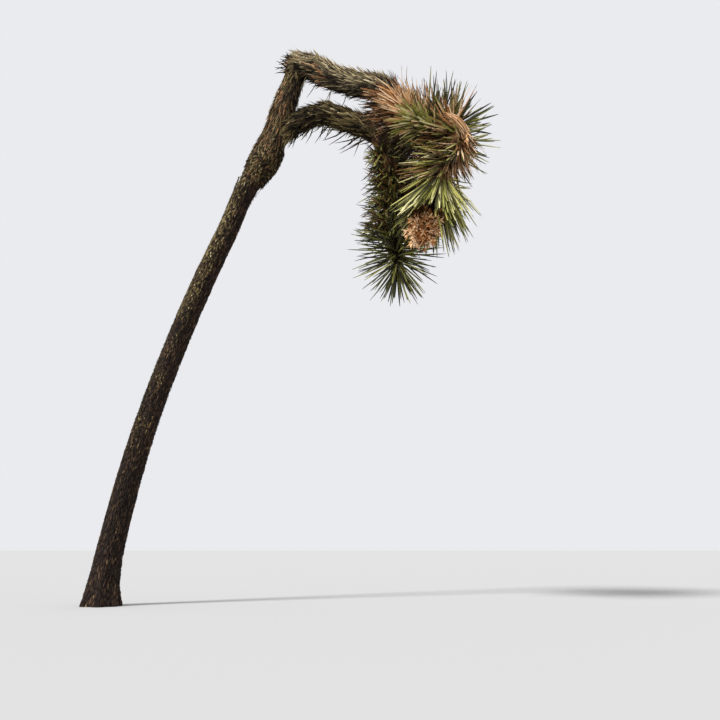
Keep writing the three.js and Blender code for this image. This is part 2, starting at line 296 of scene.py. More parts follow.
def line_mesh(name, places, **values):
    """A line of points that carries numbers and the side vectors."""
    mesh = bpy.data.meshes.new(name + "_line")
    mesh.from_pydata(places.tolist(), [(i, i + 1) for i in range(len(places) - 1)], [])
    for attribute, numbers in values.items():
        mesh.attributes.new(attribute, "FLOAT", "POINT").data.foreach_set("value", numbers)
    sides = mesh.attributes.new("side", VECTOR, "POINT")
    sides.data.foreach_set("vector", side_vectors(places).ravel())
    return mesh


def girth_keys(name):
    return {**LIMBS, **GROWTHS}[name]["girth"]


def stretch(name, begin=0.0, end=1.0, pitch=90, size=1.0, girth=None, shift=0.0, points=60):
    """The limb from one share of its length to another, with what grows on it."""
    shares = np.linspace(begin, end, points)
    within = np.linspace(0, 1, points)
    places = places_on(name, shares)
    places[:, 0] += keyed(shift, shares)
    return line_mesh(
        name, places, girth=keyed(girth or girth_keys(name), shares), pitch=keyed(pitch, within),
        size=keyed(size, within), within=within,
    )


print("the trunk meets the ground at", round(GROUND_SHARE, 4), "of its centreline")

# %% [markdown]
# ## Sums that draw nodes
# Both shaders and Geometry Nodes are networks of small sums. Written as Python expressions they
# can be read: a wire stands for an output socket, and adding or multiplying two wires adds the
# node that does it. Vectors go through Vector Math, numbers through Math, and any other node
# comes from one method, which makes its settings before it fills its sockets.

# %% Wires and boards


def find_socket(sockets, key):
    if isinstance(key, int):
        return sockets[key]
    return next(socket for socket in sockets if socket.enabled and socket.name == key)


def is_vector(value):
    if isinstance(value, Wire):
        return value.socket.type in ("VECTOR", "RGBA")
    return isinstance(value, (tuple, Vector))


def summing(operation, reflected=False):
    """An operator of a wire. Its reflected form has the wire on the right."""
    if reflected:
        return lambda wire, other: wire.board.sum(operation, other, wire)
    return lambda wire, other: wire.board.sum(operation, wire, other)


class Wire:
    """One output socket. Sums on it add nodes to its board."""

    __add__, __radd__ = summing("ADD"), summing("ADD", True)
    __sub__, __rsub__ = summing("SUBTRACT"), summing("SUBTRACT", True)
    __mul__, __rmul__ = summing("MULTIPLY"), summing("MULTIPLY", True)
    __truediv__, __rtruediv__ = summing("DIVIDE"), summing("DIVIDE", True)
    __lt__, __gt__ = summing("LESS_THAN"), summing("GREATER_THAN")

    def __init__(self, board, socket):
        self.board = board
        self.socket = socket

    def math(self, operation, other=0.0):
        return self.board.sum(operation, self, other)

    def vector_math(self, operation, other=(0, 0, 0), output="Vector"):
        return self.board.add("ShaderNodeVectorMath", {0: self, 1: other}, output, operation=operation)

    def part(self, axis):
        return self.board.add("ShaderNodeSeparateXYZ", {0: self}, axis)

    def beside(self, output):
        """Another output of the same node."""
        return Wire(self.board, find_socket(self.socket.node.outputs, output))


class Board:
    """A node tree that is drawn by sums on its wires and by add() for any other node."""

    def __init__(self, tree):
        self.tree = tree

    def add(self, kind, sockets=None, output=0, **settings):
        """Adds a node, makes its settings, fills its sockets and gives one output."""
        node = self.tree.nodes.new(kind)
        for name, value in settings.items():
            setattr(node, name, value)
        for key, value in (sockets or {}).items():
            self.plug(find_socket(node.inputs, key), value)
        return Wire(self, find_socket(node.outputs, output))

    def plug(self, socket, value):
        if isinstance(value, Wire):
            self.tree.links.new(value.socket, socket)
        elif socket.type == "RGBA":
            socket.default_value = (*value[:3], 1)
        else:
            socket.default_value = value

    def sum(self, operation, a, b):
        vectors = is_vector(a), is_vector(b)
        kind = "ShaderNodeVectorMath" if any(vectors) else "ShaderNodeMath"
        if operation == "MULTIPLY" and vectors[0] != vectors[1]:
            arrow, factor = (a, b) if vectors[0] else (b, a)
            return self.add(kind, {"Vector": arrow, "Scale": factor}, operation="SCALE")
        return self.add(kind, {0: a, 1: b}, operation=operation)

    def ask(self, **kinds):
        """The named inputs of a geometry tree."""
        asked = {}
        for name, kind in kinds.items():
            self.tree.interface.new_socket(name, in_out="INPUT", socket_type="NodeSocket" + kind)
            asked[name] = self.add("NodeGroupInput", output=name)
        return SimpleNamespace(**asked)

    def give(self, geometry):
        """The geometry that the tree ends in."""
        self.tree.interface.new_socket("Geometry", in_out="OUTPUT", socket_type="NodeSocketGeometry")
        self.plug(self.tree.nodes.new("NodeGroupOutput").inputs[0], geometry)

    def read(self, name, kind="FLOAT"):
        """An attribute of the geometry that a geometry tree is working on."""
        return self.add("GeometryNodeInputNamedAttribute", {"Name": name}, data_type=kind)

    def store(self, geometry, **values):
        """Keeps numbers and vectors as attributes of the geometry's points."""
        for name, value in values.items():
            kind = VECTOR if is_vector(value) else "FLOAT"
            sockets = {"Geometry": geometry, "Name": name, "Value": value}
            geometry = self.add("GeometryNodeStoreNamedAttribute", sockets, data_type=kind, domain="POINT")
        return geometry

    def place(self):
        return self.add("GeometryNodeInputPosition")

    def join_xyz(self, x, y, z):
        return self.add("ShaderNodeCombineXYZ", {0: x, 1: y, 2: z})

    def turn(self, vector, axis, angle):
        sockets = {"Vector": vector, "Axis": axis, "Angle": angle}
        return self.add("ShaderNodeVectorRotate", sockets, rotation_type="AXIS_ANGLE")

    def chance(self, low, high, seed):
        sockets = {"Min": low, "Max": high, "Seed": seed}
        return self.add("FunctionNodeRandomValue", sockets, "Value", data_type="FLOAT")

    def fade(self, value, low, high, start=0.0, stop=1.0):
        """A smooth step from start to stop as value goes from low to high."""
        sockets = {"Value": value, "From Min": low, "From Max": high, "To Min": start, "To Max": stop}
        return self.add("ShaderNodeMapRange", sockets, interpolation_type="SMOOTHSTEP")

    def mix(self, factor, a, b):
        return self.add("ShaderNodeMix", {"Factor": factor, "A": a, "B": b}, "Result", data_type="RGBA")

    def noise(self, where, scale, detail=3.0, roughness=0.6):
        sockets = {"Vector": where, "Scale": scale, "Detail": detail, "Roughness": roughness}
        return self.add("ShaderNodeTexNoise", sockets)


print("wires and boards are ready")

# %% [markdown]
# A geometry tree runs as a modifier. Its inputs are set by the identifier of each socket while
# nothing has looked at the object yet, the evaluated result is copied to a plain mesh, and the
# modifier goes, so that what is left is an ordinary piece. Pieces of one kind are joined, set on the
# root body, and the imported part that they stand for is hidden.

# %% Running a geometry tree
scene = bpy.context.scene


def grow(tree, line, name, **values):
    """What the tree makes of a line of points, as a plain object."""
    piece = bpy.data.objects.new(name, line)
    modifier = piece.modifiers.new("Growth", "NODES")
    modifier.node_group = tree
    identifiers = {
        item.name: item.identifier for item in tree.interface.items_tree if item.in_out == "INPUT"
    }
    for key, value in values.items():
        modifier[identifiers[key]] = value
    scene.collection.objects.link(piece)
    graph = bpy.context.evaluated_depsgraph_get()
    mesh = bpy.data.meshes.new_from_object(piece.evaluated_get(graph), depsgraph=graph)
    piece.modifiers.clear()
    piece.data = mesh
    mesh.name = name
    return piece


def triangles(piece):
    return sum(len(face.vertices) - 2 for face in piece.data.polygons)


def hand_over(name, slot, node, *parts):
    """Joins parts as one piece, sets it on the root body and hides the imported part it stands for."""
    bpy.ops.object.select_all(action="DESELECT")
    for part in parts:
        part.select_set(True)
    piece = parts[0]
    bpy.context.view_layer.objects.active = piece
    if len(parts) > 1:
        bpy.ops.object.join()
    piece.name = name
    piece.data.name = name
    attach(piece, "root")
    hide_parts(node)
    print(f"{name:28s} {triangles(piece):7d} triangles, stands for {node}")


# %% [markdown]
# ## Bark
# The old trunk is nearly black brown, broken into narrow upright plates with dark cracks between
# them, and here and there a plate has kept a tan or golden face. The cracks have to lie in the
# same places in the colour as in the relief. So both read one cell pattern, and both read it in
# the same coordinates: the trunk as it would be if it were straightened, which the mesh carries
# as an attribute. Object coordinates would cut the plates at a slant where the trunk leans.

# %% Bark finish
PLATE_WIDTH = 0.011
PLATE_STRETCH = 0.2
STREAK_STRETCH = 0.12
CRACK_SHARE = 0.22
GRIME_SCALE = 7.0
BUMP_DEPTH = 0.003
CRACK = (0.010, 0.007, 0.006)
DARK_PLATE = (0.024, 0.017, 0.014)
BROWN_PLATE = (0.078, 0.045, 0.027)
TAN_PLATE = (0.260, 0.170, 0.080)
BARK_GLOSS = 0.08
TAN_LOTS = (0.93, 1.0)
TAN_GRIME = (0.42, 0.62)
BROWN_LOTS = (0.12, 0.5)
FIBRE_SCALE = 190.0
FIBRE_LEVELS = (0.3, 0.75)
FIBRE_TONES = (0.45, 1.55)
GRAIN_SCALE = 260.0
BUMP_STRENGTH = 0.7
BARK_ROUGHNESS = (0.98, 0.8)


def plates(board, unbent):
    """Cell pattern of the bark: how far inside its plate a place is, and the plate's own lot."""
    sockets = {"Vector": unbent * (1.0, 1.0, PLATE_STRETCH), "Scale": 1 / PLATE_WIDTH, "Randomness": 0.9}
    edge = board.add("ShaderNodeTexVoronoi", sockets, "Distance", feature="DISTANCE_TO_EDGE")
    lot = board.add("ShaderNodeTexVoronoi", sockets, "Color", feature="F1")
    return board.fade(edge, 0.0, CRACK_SHARE), lot.part("X")


def new_finish(name, gloss):
    material = bpy.data.materials.new(name)
    material.use_nodes = True
    shader = material.node_tree.nodes["Principled BSDF"]
    shader.inputs["Specular IOR Level"].default_value = gloss
    return material, Board(material.node_tree), shader


def bark_finish(name, tan_share, painted_light_level):
    material, board, shader = new_finish(name, BARK_GLOSS)
    unbent = board.add("ShaderNodeAttribute", output="Vector", attribute_name="unbent")
    inside, lot = plates(board, unbent)
    grime = board.noise(unbent, GRIME_SCALE)
    upright = unbent * (1.0, 1.0, STREAK_STRETCH)
    brown = board.mix(board.fade(lot * grime, *BROWN_LOTS), DARK_PLATE, BROWN_PLATE)
    kept = board.fade(lot + tan_share, *TAN_LOTS) * board.fade(grime, *TAN_GRIME)
    colour = board.mix(inside, CRACK, board.mix(kept, brown, TAN_PLATE))
    fibres = board.noise(upright, FIBRE_SCALE)
    # Painted shade: a light level below one darkens the whole bark evenly.
    streaks = board.fade(fibres, *FIBRE_LEVELS, *(painted_light_level * tone for tone in FIBRE_TONES))
    board.plug(shader.inputs["Base Color"], colour * streaks)
    board.plug(shader.inputs["Roughness"], board.fade(inside, 0.0, 1.0, *BARK_ROUGHNESS))
    height_field = inside * 0.5 + board.noise(upright, GRAIN_SCALE) * 0.5
    sockets = {"Strength": BUMP_STRENGTH, "Distance": BUMP_DEPTH, "Height": height_field}
    board.plug(shader.inputs["Normal"], board.add("ShaderNodeBump", sockets, "Normal"))
    return material


bark = bark_finish("trunk bark", 0.03, 1.0)
# Painted shade: the bark of the hidden cores is darkened to 0.6 of the trunk's.
painted_shade_bark = bark_finish("painted shade bark", 0.0, 0.6)
print("plates about", PLATE_WIDTH, "m across and", round(PLATE_WIDTH / PLATE_STRETCH, 3), "m tall")

# %% [markdown]
# ## Limbs with relief
# A limb is a circle carried along its line. The tree stores where each point sits on the circle
# and how far along the line, which together are the straightened coordinates, and then moves
# every point in or out: soft lumps, lobes at the root, plates and cracks. The relief is real
# shape and not only shading, so it shows on the limb's outline. Near the ground the rings are
# tilted level, which makes the foot of the trunk one flat cut.

# %% Limb tree
UNBENT_RADIUS = 0.09
LOBE_DEPTH = 0.09
SLOW_LUMPS = 0.025
QUICK_LUMPS = 0.018
RAGGED_SCALE = 30.0
NO_FOOT = 0.0001


def limb_tree():
    board = Board(bpy.data.node_groups.new("Limb", "GeometryNodeTree"))
    asked = board.ask(
        line="Geometry", rings="Int", sides="Int", relief="Float", roughness="Float", lobes="Float",
        level_foot="Float", finish="Material",
    )
    place = board.place()
    curve = board.add("GeometryNodeMeshToCurve", {"Mesh": asked.line})
    curve = board.add("GeometryNodeResampleCurve", {"Curve": curve, "Count": asked.rings})
    length = board.add("GeometryNodeSplineParameter", output="Length")
    curve = board.store(curve, centre=place, along=length)
    circle = board.add("GeometryNodeCurvePrimitiveCircle", {"Resolution": asked.sides, "Radius": 1.0})
    circle = board.store(circle, around=place)
    sockets = {"Curve": curve, "Profile Curve": circle, "Scale": board.read("girth"), "Fill Caps": True}
    tube = board.add("GeometryNodeCurveToMesh", sockets)
    around = board.read("around", VECTOR)
    along = board.read("along")
    centre = board.read("centre", VECTOR)
    tube = board.store(tube, unbent=around * UNBENT_RADIUS + board.join_xyz(0, 0, along))
    unbent = board.read("unbent", VECTOR)
    angle = around.part("Y").math("ARCTAN2", around.part("X"))
    slow = (2 * angle + 4 * along + 1.3).math("SINE")
    quick = (5 * angle - 11 * along).math("SINE") * (17 * along + 0.6).math("COSINE")
    flare = (along * (-1 / ROOT_FLARE_REACH)).math("EXPONENT")
    lobed = 1 + asked.lobes * flare * (ROOT_LOBES * angle + 0.7).math("SINE")
    inside, lot = plates(board, unbent)
    ragged = board.noise(unbent, RAGGED_SCALE, 4.0) - 0.5
    radius = board.read("girth") * (1 + SLOW_LUMPS * slow + QUICK_LUMPS * quick) * lobed
    radius = radius + asked.relief * (inside * (0.6 + 0.4 * lot) - 0.8) + asked.roughness * ragged
    outward = (place - centre).vector_math("NORMALIZE")
    moved = centre + outward * radius
    sunk = board.fade(along, 0.0, asked.level_foot, 1.0, 0.0)
    level = (moved.part("Z") - centre.part("Z")) * sunk
    moved = moved - board.join_xyz(0, 0, level)
    tube = board.add("GeometryNodeSetPosition", {"Geometry": tube, "Position": moved})
    tube = board.add("GeometryNodeSetShadeSmooth", {"Geometry": tube})
    tube = board.add("GeometryNodeRealizeInstances", {"Geometry": tube})
    board.give(board.add("GeometryNodeSetMaterial", {"Geometry": tube, "Material": asked.finish}))
    return board.tree


limb_rule = limb_tree()
# Painted shade: unless told otherwise a tube wears the darkened bark, as the cores, the collar's cuff and
# the flower stalk do.
tube = partial(
    grow, limb_rule, relief=0.005, roughness=0.012, lobes=0.0, level_foot=NO_FOOT, finish=painted_shade_bark
)
print("limb tree with", len(limb_rule.nodes), "nodes")

# %% [markdown]
# The trunk is one long tube that leans aside a little under its collar. The collar is a cuff of
# its own round the top of the trunk, with a rim that hangs over on the right.

# %% Trunk and collar
COLLAR_CORE = 0.3 * THATCH_DEPTH
TRUNK_SHIFT = [(0.8, 0.0), (0.86, -0.016), (0.95, -0.01)]
CUFF_START = 0.912
CUFF = {
    "girth": [(CUFF_START, 0.072), (0.918, 0.081), (0.943, 0.1), (0.964, 0.11), (0.989, 0.103), (1, 0.085)],
    "shift": [(CUFF_START, 0.002), (0.943, 0.005), (0.964, 0.012), (0.989, 0.013), (1, 0.004)],
}
trunk_line = stretch(
    "trunk", GROUND_SHARE, 1.0, girth=trunk_girth(COLLAR_CORE), shift=TRUNK_SHIFT, points=200
)
trunk = tube(
    trunk_line, "bark", rings=760, sides=126, relief=0.006, lobes=LOBE_DEPTH, level_foot=0.25, finish=bark
)
hand_over("trunk_bark", "bark", "trunk", trunk)
cuff_line = stretch("trunk", CUFF_START, 1.0, **CUFF)
# Painted shade: the cuff wears the same darkened bark as the cores.
cuff = tube(cuff_line, "collar", rings=70, sides=90, relief=0.008, roughness=0.025)
hand_over("trunk_collar", "bark", "trunk", cuff)

# %% [markdown]
# The boughs and the stems of the shoots hide under leaves, so they get plain cores of the same
# making, a little slimmer than the limb. Their bark is darkened to nearly black as painted shade,
# so that the gaps between leaves read as depth.

# %% Cores of boughs and stems
SLIM_CORE = 0.8
RING_SPACING = 0.006
RISE = {
    "girth": bough((0, 1.14), (0.2, 0.93), (0.5, 0.9), (0.8, 0.76), (0.92, 0.74), (1, 0.58)),
    "shift": [(0, 0.0), (0.5, 0.003), (0.8, 0.017), (1, 0.02)],
}
SHOOT = {"shift": [(0, 0.012), (0.3, 0.034), (0.6, 0.03), (1, 0.0)]}
OWN_SHAPES = {"upper_bough_rise": RISE, "lower_shoot": SHOOT}


def core(name):
    girth = [(share, SLIM_CORE * radius) for share, radius in LIMBS[name]["girth"]]
    shape = {"girth": girth, **OWN_SHAPES.get(name, {})}
    rings = int(LIMBS[name]["length"] / RING_SPACING)
    return tube(stretch(name, points=120, **shape), "core", rings=rings, sides=64)


for name in WOOD[1:]:
    hand_over(name + "_core", "thatch", name, core(name))
for name in MASSES[:-1]:
    slot = "dead_leaves" if name == "upper_shoot" else "green_leaves"
    hand_over(name + "_stem", slot, name, core(name))

# %% [markdown]
# ## Tones
# Leaves get plain colours, because a pattern would be muddled on thousands of thin blades. What
# looks like one colour from afar is many: each palette is a row of tones from dark to pale, and
# every leaf draws its own, with a bias that depends on where it grows.

# %% Palettes


def plain_finish(name, colour, roughness, gloss):
    material, board, shader = new_finish(name, gloss)
    shader.inputs["Base Color"].default_value = (*colour, 1)
    shader.inputs["Roughness"].default_value = roughness
    return material


PALETTES = {
    "green": [
        (0.022, 0.021, 0.013), (0.042, 0.042, 0.018), (0.072, 0.071, 0.024), (0.124, 0.122, 0.033),
        (0.200, 0.196, 0.045), (0.320, 0.310, 0.075), (0.465, 0.440, 0.145), (0.640, 0.590, 0.290),
    ],
    "dry": [
        (0.028, 0.019, 0.013), (0.070, 0.038, 0.022), (0.140, 0.068, 0.032), (0.250, 0.120, 0.053),
        (0.425, 0.215, 0.088), (0.620, 0.375, 0.180), (0.800, 0.565, 0.350),
    ],
    "thatch": [
        (0.010, 0.008, 0.006), (0.024, 0.017, 0.010), (0.052, 0.037, 0.018), (0.100, 0.073, 0.032),
        (0.180, 0.136, 0.058), (0.300, 0.235, 0.108), (0.440, 0.360, 0.195),
    ],
    "straw": [
        (0.012, 0.010, 0.007), (0.032, 0.024, 0.015), (0.078, 0.060, 0.035), (0.160, 0.126, 0.072),
        (0.275, 0.217, 0.116), (0.405, 0.328, 0.185), (0.560, 0.466, 0.295),
    ],
    "husk": [
        (0.030, 0.013, 0.007), (0.105, 0.038, 0.013), (0.235, 0.085, 0.025), (0.400, 0.165, 0.050),
        (0.590, 0.300, 0.115), (0.780, 0.530, 0.310),
    ],
}
ROUGHNESS = {"green": 0.42, "dry": 0.65, "thatch": 0.8, "straw": 0.75, "husk": 0.7}
GLOSS = {"green": 0.3, "dry": 0.12, "thatch": 0.08, "straw": 0.1, "husk": 0.12}


def tone_row(kind):
    """One plain finish for each colour of a palette."""
    return [
        plain_finish(f"{kind} tone {i + 1}", colour, ROUGHNESS[kind], GLOSS[kind])
        for i, colour in enumerate(PALETTES[kind])
    ]


tones = {kind: tone_row(kind) for kind in PALETTES}
spine = plain_finish("dark spine", (0.016, 0.011, 0.008), 0.5, 0.15)
print({kind: len(row) for kind, row in tones.items()}, "tones")

# %% [markdown]
# ## Leaf forms
# A dagger leaf is thick, keeled below and hollow above, broad at its foot, and ends in a hard
# dark spine. A form is that shape one unit long, wide and thick, with few faces. Some forms are
# bent or twisted, so that neighbours differ. Each face holds how much paler or darker than the
# leaf's tone it is, with a large negative number for the spine.

# %% Leaf forms
SPINE = -9
KEELED = [(0, -0.5), (0.5, 0.5), (0, 0.12), (-0.5, 0.5)]
THREE_SIDED = [(0, -0.5), (0.5, 0.4), (-0.5, 0.4)]


def form(name, points, faces, lifts):
    """A small mesh whose points know their share of the height and whose faces know their lift."""
    mesh = bpy.data.meshes.new(name)
    mesh.from_pydata(points, [], faces)
    shares = [float(point[2]) for point in points]
    mesh.attributes.new("share", "FLOAT", "POINT").data.foreach_set("value", shares)
    mesh.attributes.new("lift", "FLOAT", "FACE").data.foreach_set("value", [float(x) for x in lifts])
    return bpy.data.objects.new(name, mesh)


def ring_faces(rings, count):
    """The foot and the sides of a form whose points lie in rings of so many."""
    faces = [tuple(reversed(range(count)))]
    for low in range(0, (rings - 1) * count, count):
        for i in range(count):
            after = (i + 1) % count
            faces.append((low + i, low + after, low + count + after, low + count + i))
    return faces


def leaf_form(name, rings, section, lifts, bend, twist):
    """A leaf that rises along +Z. Rings are (share, width), and the last one is drawn to a point."""
    points = []
    for share, width in rings:
        turn = math.radians(twist) * share
        for x, y in section:
            u = width * (x * math.cos(turn) - y * math.sin(turn) * 0.5)
            v = width * (x * math.sin(turn) * 0.5 + y * math.cos(turn))
            points.append((u, v + bend * share * share, share))
    count = len(section)
    top = len(points)
    points.append((0, bend, 1))
    faces = ring_faces(len(rings), count)
    faces += [(top - count + i, top - count + (i + 1) % count, top) for i in range(count)]
    shade = [lifts[0]] + [lift for lift in lifts for i in range(count)]
    return form(name, points, faces, shade)


def forms(name, *objects):
    collection = bpy.data.collections.new(name)
    for item in objects:
        collection.objects.link(item)
    print(name, "has", len(objects), "forms of about", triangles(objects[0]), "triangles")
    return collection


def leaf_forms(kind, rings, section, **shapes):
    """Forms with the same rings. Each shape gives its lifts, its bend and its twist."""
    made = [leaf_form(f"{kind}_{shape}", rings, section, *rest) for shape, rest in shapes.items()]
    return forms(kind + "_forms", *made)


green_forms = leaf_forms(
    "green", [(0, 1.2), (0.08, 0.85), (0.38, 1.0), (0.72, 0.82), (0.93, 0.4)], KEELED,
    straight=([1, 0, 0, -1, SPINE], 0.0, 6),
    bowed=([1, 0, 0, 0, SPINE], -3.0, -12),
    hollow=([2, 1, 0, 0, SPINE], 2.5, 10),
    dark_ended=([1, 0, -1, -2, SPINE], -1.5, 20),
)
dry_forms = leaf_forms(
    "dry", [(0, 1.2), (0.1, 0.9), (0.5, 0.9), (0.88, 0.4)], THREE_SIDED,
    straight=([-1, 0, 0, SPINE], -1.5, 25),
    bent=([-1, 0, -1, SPINE], -5.0, -50),
    pale=([0, 1, 0, -1], 1.5, 70),
    hooked=([-1, 0, 0, SPINE], -8.0, 15),
)
strand_forms = leaf_forms(
    "strand", [(0, 0.9), (0.35, 1.0), (0.8, 0.7)], THREE_SIDED,
    flat=([-1, 0, 0], -2.0, 20),
    bent=([0, 0, -1], -5.0, -60),
    lifted=([-1, 0, 1], 3.0, 80),
    curled=([0, 1, 0], -9.0, 40),
)
flake_forms = forms(
    "flake_forms",
    leaf_form("flake_flat", [(0, 0.7), (0.45, 1.0)], THREE_SIDED, [0, 0], -0.6, 30),
    leaf_form("flake_raised", [(0, 0.9), (0.6, 0.8)], THREE_SIDED, [-1, 0], 1.2, -40),
)

# %% [markdown]
# ## The rule of the spiral
# Leaves leave a stem one after another, each turned by the golden angle from the last, so that
# none stands right above another. One tree of nodes holds that rule, in four steps. The first
# spaces points along the stretch, turns each round the stem and tilts it by its pitch. Leaves
# on the sunny side, and some by chance, draw a paler tone. LEAF_RULE has a usual value for each
# of the tree's inputs that isn't the same for all leaves of a kind.

# %% First step: aim the leaves
SUNNY_SIDE = (-0.45, -0.25, 0.86)
OFF_THE_STEM = 0.08
PATCH_SCALE = 9.0
SWIRL_SCALE = 16.0
SWIRL_JITTER = 0.4
LONGEST = 1.14
LEAF_RULE = {
    "root_depth": 0.45, "tilt_jitter": 11, "turn_jitter": 14, "ruffle": 0.0, "swirl": 0.0,
    "shortest": 0.84, "droop": 0.0, "sag": 0.0, "facing": (0.0, 0.0, 1.0), "facing_limit": -2.0,
    "reach": LEAF_REACH, "trespass": 0.08, "clearance": 0.085, "tone": 3.0, "tone_by_light": 0.0,
    "tone_by_share": 0.0, "tone_by_patch": 0.0, "tone_spread": 1.5, "pale_share": 0.0, "pale_lift": 2.0,
}
SPIRAL_INPUTS = {
    "line": "Geometry", "leaves": "Int", "seed": "Int", "length": "Float", "width": "Float",
    "thickness": "Float", "forms": "Collection", "own_stem": "Object", "other_stems": "Object",
    "wood": "Object", **dict.fromkeys(LEAF_RULE, "Float"), "facing": "Vector",
}


def aim_leaves(board, asked):
    """Points with the way in which each leaf points, its length and its tone."""
    seed = asked.seed
    curve = board.add("GeometryNodeMeshToCurve", {"Mesh": asked.line})
    sockets = {"Curve": curve, "Count": asked.leaves}
    points = board.add("GeometryNodeCurveToPoints", sockets, "Points", mode="COUNT")
    tangent = points.beside("Tangent")
    index = board.add("GeometryNodeInputIndex")
    angle = index * math.radians(GOLDEN_ANGLE) + board.chance(-1.0, 1.0, seed) * asked.turn_jitter
    out = board.turn(board.read("side", VECTOR), tangent, angle)
    around = board.place() + out * OFF_THE_STEM
    patch = board.noise(around, PATCH_SCALE, 2.0) - 0.5
    tilt = board.read("pitch") * math.radians(1) + board.chance(-1.0, 1.0, seed + 1) * asked.tilt_jitter
    tilt = tilt - asked.ruffle * patch
    eddy = board.noise(around, SWIRL_SCALE, 1.0) * 2 - 1
    eddy = eddy + board.chance(-SWIRL_JITTER, SWIRL_JITTER, seed + 6)
    lengthwise = board.turn(tangent, out, eddy * asked.swirl)
    fall = board.join_xyz(0, 0, asked.droop)
    along = out * tilt.math("SINE") + lengthwise * tilt.math("COSINE") - fall
    length = asked.length * board.read("size") * board.chance(asked.shortest, LONGEST, seed + 2)
    # Painted light: a leaf whose foot faces the sun draws a paler tone, and one that faces away draws a
    # darker one.
    sunny = out.vector_math("DOT_PRODUCT", SUNNY_SIDE, "Value")
    tone = asked.tone + asked.tone_by_light * sunny + asked.tone_by_share * board.read("within")
    tone = tone + asked.tone_by_patch * patch + asked.tone_spread * board.chance(-1.0, 1.0, seed + 3)
    tone = tone + (board.chance(0.0, 1.0, seed + 5) < asked.pale_share) * asked.pale_lift
    faces_right = out.vector_math("DOT_PRODUCT", asked.facing, "Value") > asked.facing_limit
    points = board.store(
        points, along=along.vector_math("NORMALIZE"), across=lengthwise.vector_math("CROSS_PRODUCT", out),
        leaf_length=length, tone=tone.math("ROUND"), form=board.chance(0.0, 1.0, seed + 4),
        faces_right=faces_right,
    )
    offset = out * (board.read("girth") * asked.root_depth)
    return board.add("GeometryNodeSetPosition", {"Geometry": points, "Offset": offset})


print(len(SPIRAL_INPUTS), "inputs set a spiral")

# %% [markdown]
# The second step asks of each leaf: does its tip stay within reach of its own stem, is it hardly
# nearer to a neighbour's stem, is it clear of the boughs, and does it stay in the model's box? A
# leaf that fails is dropped, as a real one would be crowded out or rubbed off. Facing keeps only
# the leaves on one side of a stem.

# %% Second step: drop crowded leaves
BOX_SLACK = 0.02
HALFWAY = 0.55


def distance_to(board, thing, where):
    shape = board.add("GeometryNodeObjectInfo", {"Object": thing}, "Geometry")
    sockets = {"Geometry": shape, "Sample Position": where}
    return board.add("GeometryNodeProximity", sockets, "Distance", target_element="EDGES")


def drop_crowded(board, asked, points):
    root = board.place()
    way = board.read("along", VECTOR) * board.read("leaf_length")
    tip, middle = root + way, root + way * HALFWAY
    own = distance_to(board, asked.own_stem, tip)
    keep = (own < asked.reach) * (own < distance_to(board, asked.other_stems, tip) + asked.trespass)
    for place in (tip, middle):
        keep = keep * (distance_to(board, asked.wood, place) > asked.clearance)
    for axis in range(3):
        level = tip.part(axis)
        keep = keep * (level > cad_low[axis] - BOX_SLACK) * (level < cad_high[axis] + BOX_SLACK)
    keep = keep * board.read("faces_right")
    return board.add("GeometryNodeDeleteGeometry", {"Geometry": points, "Selection": 1 - keep})


# %% [markdown]
# The third step puts a copy of a leaf form at each point, turned so that its length follows the
# leaf and its hollow side looks to the tip of the stem. The fourth gives each face its tone. To
# paint by leaf a material is set on the faces whose tone number matches.

# %% Third and fourth step: set the leaves and paint them
FORM_DRAWS = 60


def set_leaves(board, asked, points):
    axes = {"Primary Axis": board.read("along", VECTOR), "Secondary Axis": board.read("across", VECTOR)}
    rotation = board.add("FunctionNodeAxesToRotation", axes, primary_axis="Z", secondary_axis="X")
    scale = board.join_xyz(asked.width, asked.thickness, board.read("leaf_length"))
    chosen = {"Collection": asked.forms, "Separate Children": True, "Reset Children": True}
    sockets = {
        "Points": points, "Instance": board.add("GeometryNodeCollectionInfo", chosen), "Scale": scale,
        "Pick Instance": True, "Instance Index": (board.read("form") * FORM_DRAWS).math("FLOOR"),
        "Rotation": rotation,
    }
    leaves = board.add("GeometryNodeInstanceOnPoints", sockets)
    leaves = board.add("GeometryNodeRealizeInstances", {"Geometry": leaves})
    share = board.read("share")
    fall = share * share * board.read("leaf_length") * asked.sag
    sockets = {"Geometry": leaves, "Offset": board.join_xyz(0, 0, fall * -1)}
    return board.add("GeometryNodeSetPosition", sockets)


def paint(board, leaves, picked, material):
    sockets = {"Geometry": leaves, "Selection": picked, "Material": material}
    return board.add("GeometryNodeSetMaterial", sockets)


def paint_leaves(board, leaves, kind):
    lift = board.read("lift")
    row = tones[kind]
    shade = (board.read("tone") + lift).math("MAXIMUM", 0.0).math("MINIMUM", len(row) - 1.0)
    for i, material in enumerate(row):
        picked = board.add("ShaderNodeMath", {0: shade, 1: float(i), 2: 0.5}, operation="COMPARE")
        leaves = paint(board, leaves, picked, material)
    return paint(board, leaves, lift < SPINE + 1.0, spine)


def spiral_tree(kind):
    board = Board(bpy.data.node_groups.new("Spiral of " + kind, "GeometryNodeTree"))
    asked = board.ask(**SPIRAL_INPUTS)
    points = drop_crowded(board, asked, aim_leaves(board, asked))
    board.give(paint_leaves(board, set_leaves(board, asked, points), kind))
    return board.tree


spirals = {kind: spiral_tree(kind) for kind in PALETTES}
print("spiral tree with", len(spirals["green"].nodes), "nodes")

# %% [markdown]
# The questions of the second step need the stems as lines that distances are measured to. They
# are plain meshes of edges outside the scene: one for each limb, one for the stems round it, and
# one for the boughs.

# %% Lines to measure from
MEASURED_EVERY = 6


def lines_of(name, limbs):
    points = []
    edges = []
    for limb in limbs:
        first = len(points)
        points.extend(ways[limb][::MEASURED_EVERY].tolist())
        edges.extend((i, i + 1) for i in range(first, len(points) - 1))
    mesh = bpy.data.meshes.new(name)
    mesh.from_pydata(points, edges, [])
    return bpy.data.objects.new(name, mesh)


